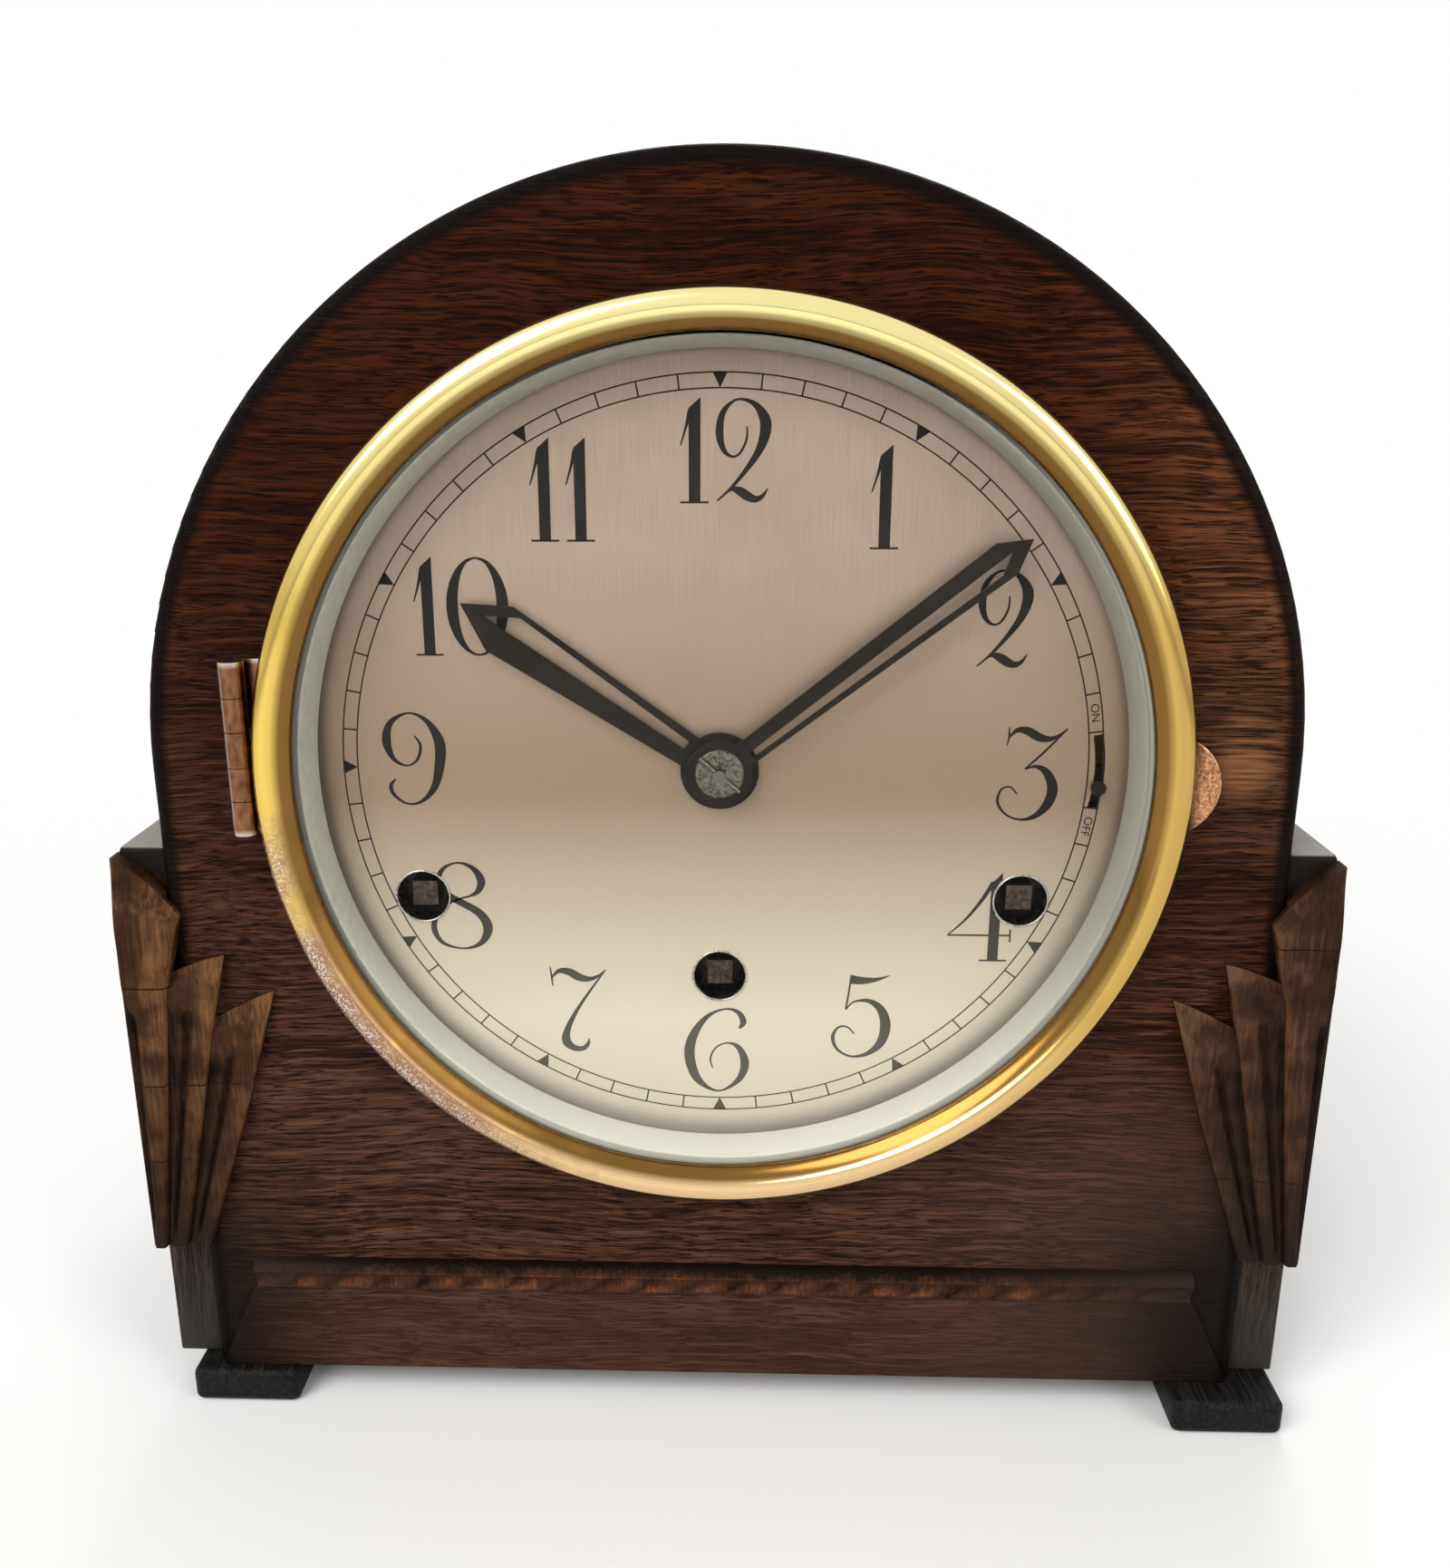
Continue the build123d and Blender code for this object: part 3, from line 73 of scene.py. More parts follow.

# %% [markdown]
# ## Small tools
# Colours are picked as sRGB hex values, but shaders count in linear light, so one function
# converts them. Node trees are wordy in Python, so one function adds a node, sets its properties, fills its
# sockets with values or links, and hands back an output for the next node. The others open a mesh for
# editing, show it in the scene, and turn lists of points and faces into a piece.

# %% Colour, node and mesh helpers
def linear(hex_colour):
    """An sRGB hex colour as linear red, green, blue and alpha."""
    parts = [int(hex_colour[i:i + 2], 16) / 255 for i in (1, 3, 5)]
    return [c / 12.92 if c <= 0.04045 else ((c + 0.055) / 1.055) ** 2.4 for c in parts] + [1.0]


def add(tree, kind, inputs=(), out=0, **settings):
    """Adds a node, by its short name if it is a shader node, and gives one of its outputs.

    Inputs are values or links, in order or by socket, and settings are the node's properties.
    """
    node = tree.nodes.new(kind if "Node" in kind else "ShaderNode" + kind)
    for key, value in settings.items():
        setattr(node, key, value)
    for socket, value in inputs.items() if isinstance(inputs, dict) else enumerate(inputs):
        if isinstance(value, bpy.types.NodeSocket):
            tree.links.new(value, node.inputs[socket])
        else:
            node.inputs[socket].default_value = value
    return node.outputs[out] if node.outputs else None


def place(x, depth, z):
    """A point in mm, with its depth counted backwards from the face of the front board."""
    return Vector((x * MM, board_face + depth * MM, z * MM))


def on_dial(x, depth, z):
    """A point in mm from the dial's centre."""
    return Vector((x * MM, board_face + depth * MM, dial_z + z * MM))


@contextmanager
def edited(mesh):
    """Opens a mesh for editing and writes the changes back."""
    work = bmesh.new()
    work.from_mesh(mesh)
    yield work
    work.to_mesh(mesh)
    work.free()


def turn_outwards(work, smooth=True):
    """Turns a mesh's faces outwards and shades them smooth or flat."""
    bmesh.ops.recalc_face_normals(work, faces=work.faces)
    for face in work.faces:
        face.smooth = smooth


def linked(name, data):
    """An object in the scene that shows a mesh, a lamp or a camera."""
    thing = bpy.data.objects.new(name, data)
    scene.collection.objects.link(thing)
    return thing


def baked(holder):
    """The finished mesh of an object with a modifier or a text, which is then removed."""
    bpy.context.view_layer.update()
    mesh = bpy.data.meshes.new_from_object(holder.evaluated_get(bpy.context.evaluated_depsgraph_get()))
    bpy.data.objects.remove(holder)
    return mesh


def grid_faces(start, rows, columns):
    """The quads between the points of a grid that begins at a number and has columns + 1 points in a row."""
    corners = [start + row * (columns + 1) + column for row in range(rows) for column in range(columns)]
    return [(a, a + 1, a + columns + 2, a + columns + 1) for a in corners]


def make_piece(name, points, faces, material, smooth=True):
    """A mesh object from points and faces, with doubles merged and faces turned outwards."""
    mesh = bpy.data.meshes.new(name)
    mesh.from_pydata([tuple(p) for p in points], [], faces)
    with edited(mesh) as work:
        bmesh.ops.remove_doubles(work, verts=work.verts, dist=1e-7)
        bmesh.ops.dissolve_degenerate(work, edges=work.edges, dist=1e-8)
        turn_outwards(work, smooth)
    mesh.materials.append(material)
    return linked(name, mesh)


def new_finish(name, **shader):
    """A material with one Principled shader whose plain sockets are set here."""
    material = bpy.data.materials.new(name)
    material.use_nodes = True
    tree = material.node_tree
    tree.nodes.clear()
    surface = add(tree, "BsdfPrincipled", shader).node
    add(tree, "OutputMaterial", {"Surface": surface.outputs[0]})
    return material, tree, surface


def dress(tree, surface, colour, gloss, bump):
    """Links a finish's colour, gloss and relief to its shader."""
    for socket, value in (("Base Color", colour), ("Roughness", gloss), ("Normal", bump)):
        tree.links.new(value, surface.inputs[socket])


def coat(*finishes):
    """Gives the solids their finishes: each is a material and the names of its solids."""
    for material, names in finishes:
        for name in names.split():
            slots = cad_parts[name].data.materials
            slots.clear()
            slots.append(material)


print("tools ready, middle grey is", round(linear("#808080")[0], 3))

# %% [markdown]
# ## Camera, floor and light
# The photograph was taken from a hand's length above the dial, close up, so the sides of the case lean
# together towards the feet. A camera matched to the case's edges repeats that. The light is a large soft
# box from the upper left, a weaker one from the right, and a white room that metal and glass can mirror.

# %% Camera matched to the photograph
image_width, image_height = 1600, 1730
focal_pixels = 1535.2
axis_pixel = (769.7, 886.3)
camera_place = Vector((4.76, -310.8, 207.35)) * MM
yaw, pitch, roll = radians(-2.01), radians(16.37), radians(-0.23)

look = Vector((sin(yaw) * cos(pitch), cos(yaw) * cos(pitch), -sin(pitch)))
level = Vector((cos(yaw), -sin(yaw), 0))
upright = level.cross(look)
right = level * cos(roll) + upright * sin(roll)
up = upright * cos(roll) - level * sin(roll)

lens = bpy.data.cameras.new("photo_camera")
lens.sensor_width = 36
lens.lens = focal_pixels * lens.sensor_width / image_height
lens.shift_x = (image_width / 2 - axis_pixel[0]) / image_height
lens.shift_y = (axis_pixel[1] - image_height / 2) / image_height
lens.clip_start = 0.01
camera = linked("photo_camera", lens)
camera.matrix_world = Matrix.Translation(camera_place) @ Matrix((right, up, -look)).transposed().to_4x4()
scene.camera = camera
print("lens", round(lens.lens, 1), "mm")

# %% White room, soft boxes and floor
scene.view_settings.view_transform = "Standard"
room = bpy.data.worlds.new("white_room")
room.use_nodes = True
scene.world = room
tree = room.node_tree
tree.nodes.clear()
# cameras, mirrors and glass see the room white, but it lights the clock less strongly
room_light = 0.42
rays = add(tree, "LightPath").node.outputs
seen = rays["Is Camera Ray"]
for kind in ("Is Glossy Ray", "Is Transmission Ray"):
    seen = add(tree, "Math", (seen, rays[kind]), operation="MAXIMUM")
strength = add(tree, "MapRange", {"Value": seen, "To Min": room_light, "To Max": 1.0})
shine = add(tree, "Background", {"Color": linear("#ffffff"), "Strength": strength})
add(tree, "OutputWorld", {"Surface": shine})

lamp_target = Vector((0, 0, 0.12))
for name, spot, size, power in (
    ("soft_box_left", (-0.75, -0.95, 1.05), 0.9, 17.0),
    ("soft_box_right", (1.0, -0.8, 0.7), 0.7, 6.0),
    ("soft_box_back", (0.2, 1.2, 1.1), 0.9, 9.0),
):
    box = bpy.data.lights.new(name, "AREA")
    box.size, box.energy = size, power
    lamp = linked(name, box)
    lamp.location = spot
    lamp.rotation_euler = (lamp_target - lamp.location).to_track_quat("-Z", "Y").to_euler()

# the paper keeps the shadow near the clock and fades to pure white farther off, so that no horizon shows
fade_start, fade_end, floor_half = 0.1, 0.55, 4
paper, tree, surface = new_finish("white_paper_sweep", **{"Base Color": linear("#fbfaf8"), "Roughness": 0.9})
rays = add(tree, "LightPath").node.outputs
away = add(tree, "VectorMath", [add(tree, "TexCoord", out="Object")], operation="LENGTH", out="Value")
away = add(tree, "MapRange", {"Value": away, "From Min": fade_start, "From Max": fade_end},
           interpolation_type="SMOOTHSTEP")
away = add(tree, "Math", (away, rays["Is Camera Ray"]), operation="MULTIPLY")
glow = add(tree, "Emission", {"Color": linear("#ffffff")})
sweep = add(tree, "MixShader", (away, surface.outputs[0], glow))
tree.links.new(sweep, tree.nodes["Material Output"].inputs["Surface"])
corners = [(x * floor_half, y * floor_half, 0) for x, y in ((-1, -1), (1, -1), (1, 1), (-1, 1))]
floor = make_piece("floor", corners, [(0, 1, 2, 3)], paper)
floor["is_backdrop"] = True
print("room, three soft boxes and floor")

# %% [markdown]
# ## Stained oak
# The case is oak, stained nearly black-brown and waxed. Oak shows long wavy lines of dark and light wood,
# short open pores, and rubbed places where the pale wood comes through. Each of these is one noise, stretched
# along the grain to its real length and width, and slow waves bend them all alike.

# %% Places that change a colour
# half the board's width in mm, and the height at which its arch springs
board_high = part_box("front_board")[1]
board_half, spring_z = board_high.x / MM, board_high.z - board_high.x


def from_dial(tree):
    """The place measured from the dial's centre and the board's face, and its distance from the dial's axis."""
    where = add(tree, "TexCoord", out="Object")
    where = add(tree, "VectorMath", (where, (0, board_face, dial_z)), operation="SUBTRACT")
    flat = add(tree, "VectorMath", (where, (1, 0, 1)), operation="MULTIPLY")
    return where, add(tree, "VectorMath", [flat], operation="LENGTH", out="Value")


def zoned(tree, colour, zones):
    """Fades a colour over to others between two places, given in mm across, in depth, in height or in radius."""
    where, radius = from_dial(tree)
    x, y, z = add(tree, "SeparateXYZ", {"Vector": where}).node.outputs
    measures = {"across": x, "depth": y, "height": z, "radius": radius}
    for measure, start, end, other in zones:
        fade = add(tree, "MapRange", {"Value": measures[measure], "From Min": start * MM, "From Max": end * MM})
        colour = add(tree, "Mix", {0: fade, 6: colour, 7: linear(other)}, data_type="RGBA", out=2)
    return colour


def front_wear_and_reflection(tree, colour, grain):
    """The front board's colours: red-black above, rubbed at the right, greyer at the lower right as a painted
    reflection of the floor, darker at the lower corners, and an ebonised edge.
    """
    where = from_dial(tree)[0]
    x, y, z = add(tree, "SeparateXYZ", {"Vector": where}).node.outputs
    side = add(tree, "Math", [x], operation="ABSOLUTE")
    above = add(tree, "Math", (z, spring_z - dial_z), operation="SUBTRACT")
    above = add(tree, "Math", (above, 0.0), operation="MAXIMUM")
    reach = add(tree, "CombineXYZ", {"X": x, "Z": above})
    reach = add(tree, "VectorMath", [reach], operation="LENGTH", out="Value")
    # a pale rubbed place beside the tab: its middle, and how far it reaches across and up
    rub_middle, rub_across, rub_up = (97 * MM, 0, 5 * MM), 5.5 * MM, 8 * MM
    rub = add(tree, "VectorMath", (where, rub_middle), operation="SUBTRACT")
    rub = add(tree, "VectorMath", (rub, (1 / rub_across, 0, 1 / rub_up)), operation="MULTIPLY")
    rub = add(tree, "VectorMath", [rub], operation="LENGTH", out="Value")
    # each change of colour: what is measured, where it begins and is full in mm, an optional second measure that
    # limits it, and how it blends, its colour and its amount
    for measure, start, end, second, begin, full, blend, other, amount in (
        (z, -75, 45, x, 125, 55, "MULTIPLY", "#b57f58", 1.0),
        (x, 40, 90, z, -8, 45, "SOFT_LIGHT", "#f3e2b6", 0.95),
        (z, -106, -115, None, 0, 0, "MIX", "#412b22", 0.45),
        (x, 55, 95, z, 0, -25, "MULTIPLY", "#c9a08a", 0.8),
        # painted reflection of the floor: greyer at the lower right
        (x, 25, 85, z, -50, -85, "MIX", "#4a3c34", 0.42),
        (x, 50, 92, z, -93, -106, "MIX", "#241d19", 0.6),
        (side, 76, 102, z, -70, -106, "MIX", "#130e0c", 0.88),
        (reach, board_half - 4.2, board_half - 2.6, None, 0, 0, "MIX", "#080504", 0.92),
    ):
        share = add(tree, "MapRange", {"Value": measure, "From Min": start * MM, "From Max": end * MM,
                                       "To Max": amount})
        if second is not None:
            limit = add(tree, "MapRange", {"Value": second, "From Min": begin * MM, "From Max": full * MM})
            share = add(tree, "Math", (share, limit), operation="MULTIPLY")
        colour = add(tree, "Mix", {0: share, 6: colour, 7: linear(other)}, data_type="RGBA", blend_type=blend, out=2)
    rubbed = add(tree, "MapRange", {"Value": rub, "From Min": 1.35, "From Max": 0.5, "To Max": 0.8})
    rubbed = add(tree, "Math", (rubbed, grain), operation="MULTIPLY")
    return add(tree, "Mix", {0: rubbed, 6: colour, 7: linear("#8a5c38")}, data_type="RGBA", out=2)


# %% Oak finish
def streaked(tree, where, sizes, detail):
    """A noise whose grains have their real sizes along X, Y and Z, in mm."""
    where = add(tree, "Mapping", {"Vector": where, "Scale": [1 / (size * MM) for size in sizes]})
    return add(tree, "TexNoise", {"Vector": where, "Scale": 1.0, "Detail": detail})


def stained_oak(name, turn, stain, body, streak, worn, worn_share, wax, zones=(), wear_and_reflection=None):
    """Oak whose grain runs along X before the turn, given as three angles in degrees; wax gives the sheen."""
    material, tree, surface = new_finish(name, **{"Specular IOR Level": wax})
    spot = add(tree, "TexCoord", out="Object")
    # slow waves 50 mm long push the grain aside by up to 7 mm
    waves = add(tree, "TexNoise", {"Vector": spot, "Scale": 1 / (50 * MM), "Detail": 2}, out="Color")
    bent = add(tree, "VectorMath", (waves, [7 * MM] * 3, spot), operation="MULTIPLY_ADD")
    where = add(tree, "Mapping", {"Vector": bent, "Rotation": [radians(a) for a in turn]})
    # the length and width in mm, and the detail, of broad bands, fine lines, pores and rubbed places
    sizes = ((80, 8, 4), (24, 0.7, 6), (6, 0.32, 2), (45, 22, 4))
    figure, lines, pores, rubbed = (streaked(tree, where, (length, width, width), detail)
                                    for length, width, detail in sizes)
    tone = add(tree, "Math", (figure, 0.6, lines), operation="MULTIPLY_ADD")
    tone = add(tree, "MapRange", {"Value": tone, "From Min": 0.62, "From Max": 0.92})
    streaks = add(tree, "MapRange", {"Value": lines, "From Min": 0.52, "From Max": 0.7})
    pores = add(tree, "MapRange", {"Value": pores, "From Min": 0.53, "From Max": 0.6, "To Max": 0.82})
    rubbed = add(tree, "MapRange", {"Value": rubbed, "From Min": 0.74 - worn_share, "From Max": 0.92 - worn_share})
    rubbed = add(tree, "Math", (rubbed, streaks), operation="MULTIPLY")
    colour = linear(stain)
    for share, other in ((tone, body), (streaks, streak), (rubbed, worn), (pores, "#0b0504")):
        colour = add(tree, "Mix", {0: share, 6: colour, 7: linear(other)}, data_type="RGBA", out=2)
    if wear_and_reflection:
        colour = wear_and_reflection(tree, colour, tone)
    gloss = add(tree, "MapRange", {"Value": lines, "To Min": 0.36, "To Max": 0.6})
    relief = add(tree, "Math", (tone, pores), operation="SUBTRACT")
    bump = add(tree, "Bump", {"Height": relief, "Strength": 0.55, "Distance": 0.22 * MM})
    dress(tree, surface, zoned(tree, colour, zones), gloss, bump)
    return material


low_grime = (("height", -105, -131, "#1b1714"),)
# the pillars are dark beside the fans, and their flat tops carry a pale grey painted sheen
pillar_top = (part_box("left_pillar")[1].z - dial_z) / MM
pillar_zones = (("height", pillar_top - 48, pillar_top - 20, "#18110d"),
                ("height", pillar_top - 0.6, pillar_top - 0.3, "#9a938b"), ("height", -105, -131, "#35312d"))
oak_front = stained_oak("stained_oak_front", (0, 0, 0), "#26160f", "#523629", "#5b3e2d", "#785239", 0.14,
                        0.04, wear_and_reflection=front_wear_and_reflection)
oak_across = stained_oak("stained_oak_across", (0, 0, 0), "#140a07", "#42271d", "#543426", "#6f4a31", 0.08, 0.07)
oak_upright = stained_oak("stained_oak_upright", (0, 90, 0), "#16100d", "#3b2e26", "#48392f", "#685243", 0.12,
                          0.28, low_grime)
oak_through = stained_oak("stained_oak_front_to_back", (0, 0, 90), "#0c0605", "#27150f", "#352018", "#5c3d28", 0.08,
                          0.12)
oak_pillar = stained_oak("stained_oak_pillar", (0, 90, 0), "#16100d", "#3b2e26", "#48392f", "#685243", 0.12,
                         0.1, pillar_zones)
ebonised = stained_oak("ebonised_beech_waxed", (0, 0, 90), "#0c0b0b", "#1d1c1b", "#282726", "#45413d", 0.05, 0.1)
coat(
    (oak_front, "front_board plinth_rail"), (oak_across, "bottom_board"), (oak_upright, "back_frame back_door"),
    (oak_pillar, "left_pillar right_pillar"), (oak_through, "arch_shell"), (ebonised, "left_foot right_foot"),
)
print("oak finishes on the case")

# %% [markdown]
# ## Metals, glass and enamel
# The bezel is a brass ring, spun, polished and lacquered, so it has fine turned lines and is mirror-like
# where the lacquer held. At the lower left hands have rubbed it through, and the brass went coppery and
# pitted. The dial is brass with a thin silvered, brushed surface, which gives a soft champagne sheen.

# %% Brass finishes
# in mm: the bezel's outer radius, where its slope towards the glass begins, and how far the dial's face lies
# behind the board's face
bezel_outer = (bezel_high.x - bezel_low.x) / 2 / MM
slope_radius = bezel_outer - 4.7
dial_front = 7.5


def spun_brass():
    """Lacquered brass with turned lines 0.3 mm apart, rubbed coppery and pitted at the lower left."""
    material, tree, surface = new_finish("spun_brass_lacquered", Metallic=1.0)
    where, radius = from_dial(tree)
    lines = add(tree, "Math", (radius, 1 / (0.3 * MM)), operation="MULTIPLY")
    lines = add(tree, "TexNoise", {"W": lines, "Scale": 1.0, "Detail": 2}, noise_dimensions="1D")
    lower_left = (-0.77, 0, -0.64)
    aim = add(tree, "VectorMath", [where], operation="NORMALIZE")
    aim = add(tree, "VectorMath", (aim, lower_left), operation="DOT_PRODUCT", out="Value")
    patches = add(tree, "TexNoise", {"Vector": where, "Scale": 1 / (9 * MM), "Detail": 5})
    rubbed = add(tree, "Math", (patches, 0.45, aim), operation="MULTIPLY_ADD")
    rubbed = add(tree, "MapRange", {"Value": rubbed, "From Min": 1.04, "From Max": 1.2})
    pits = add(tree, "TexNoise", {"Vector": where, "Scale": 1 / (0.42 * MM), "Detail": 4})
    pitted = add(tree, "MapRange", {"Value": pits, "From Min": 0.5, "From Max": 0.58})
    rim = add(tree, "Math", (patches, 3 * MM, radius), operation="MULTIPLY_ADD")
    rim = add(tree, "MapRange", {"Value": rim, "From Min": (bezel_outer - 3.6) * MM,
                                 "From Max": (bezel_outer + 0.8) * MM})
    pitted = add(tree, "Math", (pitted, rim), operation="MULTIPLY")
    tarnish = add(tree, "MapRange", {"Value": patches, "From Min": 0.5, "From Max": 0.75, "To Max": 0.6})
    copper = add(tree, "Mix", {0: pitted, 6: linear("#a27a5c"), 7: linear("#eeeae4")}, data_type="RGBA", out=2)
    gold = add(tree, "Mix", {0: tarnish, 6: linear("#d9b95f"), 7: linear("#b0903f")}, data_type="RGBA", out=2)
    # a painted highlight above where the lamp strikes, painted reflections browner on the right and paler below,
    # and darker brown on the slope towards the glass, as tarnish and a painted dark reflection
    gold = zoned(tree, gold, (("across", 30, 90, "#bd9a55"), ("height", 30, 84, "#f5e7a4"),
                              ("height", -45, -84, "#f0cc9b")))
    colour = add(tree, "Mix", {0: rubbed, 6: gold, 7: copper}, data_type="RGBA", out=2)
    colour = zoned(tree, colour, (("radius", slope_radius + 0.6, slope_radius - 0.8, "#7d5c2e"),))
    gloss = add(tree, "MapRange", {"Value": rubbed, "To Min": 0.16, "To Max": 0.42})
    relief = add(tree, "Math", (pitted, rubbed), operation="MULTIPLY")
    relief = add(tree, "Math", (lines, 0.25, relief), operation="MULTIPLY_ADD")
    bump = add(tree, "Bump", {"Height": relief, "Strength": 0.35, "Distance": 0.07 * MM})
    dress(tree, surface, colour, gloss, bump)
    return material


def grained(name, low, high, grain, stretch, rough, relief, zones=(), **shader):
    """A finish with one grain: two colours, a grain size in mm and how far it stretches along X, Y and Z."""
    material, tree, surface = new_finish(name, **shader)
    spot = add(tree, "TexCoord", out="Object")
    fine = streaked(tree, spot, [grain * s for s in stretch], 3)
    broad = add(tree, "TexNoise", {"Vector": spot, "Scale": 1 / (40 * grain * MM), "Detail": 3})
    both = add(tree, "Math", (broad, 0.5, fine), operation="MULTIPLY_ADD")
    share = add(tree, "MapRange", {"Value": both, "From Min": 0.5, "From Max": 1.0})
    colour = add(tree, "Mix", {0: share, 6: linear(low), 7: linear(high)}, data_type="RGBA", out=2)
    gloss = add(tree, "MapRange", {"Value": both, "From Min": 0.5, "From Max": 1.0,
                                   "To Min": rough[0], "To Max": rough[1]})
    bump = add(tree, "Bump", {"Height": fine, "Strength": 0.4, "Distance": relief * MM})
    dress(tree, surface, zoned(tree, colour, zones), gloss, bump)
    return material


even = (1, 1, 1)
brass_bezel = spun_brass()
# the bezel's hinge is dark and coppery, with painted highlights along its free edge and at both ends
hinge_low, hinge_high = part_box("bezel_hinge_case_leaf")
hinge_edge = hinge_low.x / MM
hinge_foot, hinge_top = ((z - dial_z) / MM for z in (hinge_low.z, hinge_high.z))
hinge_copper = grained("drawn_brass_coppery", "#5a3a28", "#94694b", 1.2, (1, 1, 2), (0.14, 0.3), 0.02,
                       zones=(("across", hinge_edge + 1.3, hinge_edge + 0.3, "#c0b1a4"),
                              ("height", hinge_top - 1.2, hinge_top - 0.2, "#c0b1a4"),
                              ("height", hinge_foot + 1.2, hinge_foot + 0.2, "#c0b1a4")), Metallic=1.0)
hinge_brass = grained("pressed_brass_dull", "#86653a", "#a8834c", 0.4, (1, 1, 20), (0.2, 0.34), 0.006, Metallic=1.0)
tab_copper = grained("stippled_copper_plate", "#66371d", "#eab185", 0.5, even, (0.2, 0.5), 0.12,
                     zones=(("across", bezel_outer + 2.8, bezel_outer + 0.9, "#4d3122"),), Metallic=1.0)
# painted light on the sight ring: darker on the right and paler below, and a pale band painted over the shade under
# the lip
enamel = grained("stove_enamel_sight_ring", "#908c80", "#a29e91", 1.6, even, (0.42, 0.6), 0.03,
                 zones=(("across", 25, 76, "#7c786e"), ("height", -25, -74, "#aba79d"),
                        ("radius", bezel_outer - 7.8, bezel_outer - 7.4, "#d3d0c6")))
# the plate is darker brass behind its silvered face, which shows in the walls of the winding holes;
# its face is painted darker above and paler below, a painted sheen
silvered = grained("silvered_brass_brushed", "#927e70", "#9e8b7d", 0.3, (1, 1, 40), (0.36, 0.46), 0.006, Metallic=0.6,
                   zones=(("height", 42, 2, "#88745f"), ("height", -6, -52, "#cbc0ae"),
                          ("depth", dial_front + 0.02, dial_front + 0.06, "#1d1712")))
matt = {"Specular IOR Level": 0.12}
# the print is painted paler towards the bottom, a painted reflection of the glass
ink = grained("dial_ink_printed", "#120f0d", "#1f1a17", 0.5, even, (0.5, 0.7), 0.005,
              zones=(("height", -15, -58, "#4a4741"),), **matt)
blackened = grained("blackened_steel_hands", "#0a0908", "#241d18", 0.7, even, (0.35, 0.55), 0.012, **matt)
steel = grained("turned_steel_polished", "#8d8c8a", "#c9c8c4", 0.4, even, (0.2, 0.4), 0.02, Metallic=1.0)
dull_steel = grained("turned_steel_oiled", "#2b2723", "#857d73", 0.5, even, (0.2, 0.45), 0.06, Metallic=1.0)
dark_steel = grained("forged_steel_dark", "#2d2723", "#66584e", 0.9, even, (0.3, 0.5), 0.03, Metallic=1.0)
plate_brass = grained("rolled_brass_movement", "#b3873f", "#dcb566", 0.5, (12, 1, 1), (0.25, 0.45), 0.02, Metallic=1.0)
arbor_brass = grained("rolled_brass_on_steel_arbor", "#b3873f", "#dcb566", 0.5, (12, 1, 1), (0.25, 0.45), 0.02,
                      zones=(("radius", 1.4, 1.3, "#6b6660"),), Metallic=1.0)
iron = grained("cast_iron_painted", "#1d1d1e", "#343434", 0.8, even, (0.5, 0.75), 0.08)
print("metal, enamel and ink finishes")

# %% Glass that lets lamps through
# a low index keeps the glass clear: at 1.5 it would mirror the white room and veil the black hands
glass, tree, surface = new_finish("crown_glass_convex", **{"Base Color": linear("#fbfdfb"), "Roughness": 0.0,
                                  "IOR": 1.1, "Transmission Weight": 1.0})
shadow = add(tree, "LightPath", out="Is Shadow Ray")
both = add(tree, "MixShader", (shadow, surface.outputs[0], add(tree, "BsdfTransparent")))
tree.links.new(both, tree.nodes["Material Output"].inputs["Surface"])
coat(
    (hinge_copper, "bezel_hinge_leaf bezel_hinge_case_leaf bezel_hinge_pin"),
    (hinge_brass, "back_hinge_door_leaves back_hinge_fixed_leaves back_hinge_pins door_catch"),
    (silvered, "dial_plate"),
    (blackened, "hour_hand minute_hand chime_lever"),
    (dull_steel, "hand_washer taper_pin"),
    (dark_steel, "going_winding_arbor strike_winding_arbor chime_winding_arbor"),
    (steel, "cannon_pinion pallets suspension_spring chime_rods hammer_arbor plate_pillars movement_bolts"),
    (steel, "rating_nut pendulum_rod"),
    (plate_brass, "front_plate back_plate intermediate_wheel third_wheel escape_wheel minute_wheel hour_wheel"),
    (plate_brass, "going_barrel strike_barrel chime_barrel suspension_cock pendulum_bob"),
    (plate_brass, "chime_hammer_1 chime_hammer_2 chime_hammer_3 chime_hammer_4"),
    (arbor_brass, "centre_wheel"),
    (iron, "chime_rod_block"),
)
print("finishes on the movement, hands and hinges")

# %% [markdown]
# ## The bezel, its glass and the sight ring
# These three are round and turned in the workshop, so each is one half section swept round the dial's
# axis. Sweeping by hand in a loop keeps the seam closed and gives a much finer circle than the solids.

# %% Sweep a section round the dial's axis
def round_between(start, end, radius, inside, steps=10):
    """Points of an arc between two points of a section, bulging away from a point inside it."""
    run = Vector(end) - Vector(start)
    rise = sqrt(radius**2 - run.length_squared / 4)
    across = Vector((-run.y, run.x)).normalized() * rise
    middle = (Vector(start) + Vector(end)) / 2
    hub = min((middle + across, middle - across), key=lambda c: (c - Vector(inside)).length)
    first = Vector(start) - hub
    turn = (Vector(end) - hub).angle_signed(first)
    return [hub + Matrix.Rotation(turn * k / steps, 2) @ first for k in range(steps + 1)]


def spun(name, section, material, steps=240, closed=True):
    """A piece swept round the dial's axis from a section of radius and depth in mm."""
    points = []
    for step in range(steps):
        angle = 2 * pi * step / steps
        points += [on_dial(r * sin(angle), depth, r * cos(angle)) for r, depth in section]
    count, faces = len(section), []
    for step in range(steps):
        here, there = step * count, (step + 1) % steps * count
        for k in range(count if closed else count - 1):
            after = (k + 1) % count
            faces.append((here + k, here + after, there + after, there + k))
    return make_piece(name, points, faces, material)


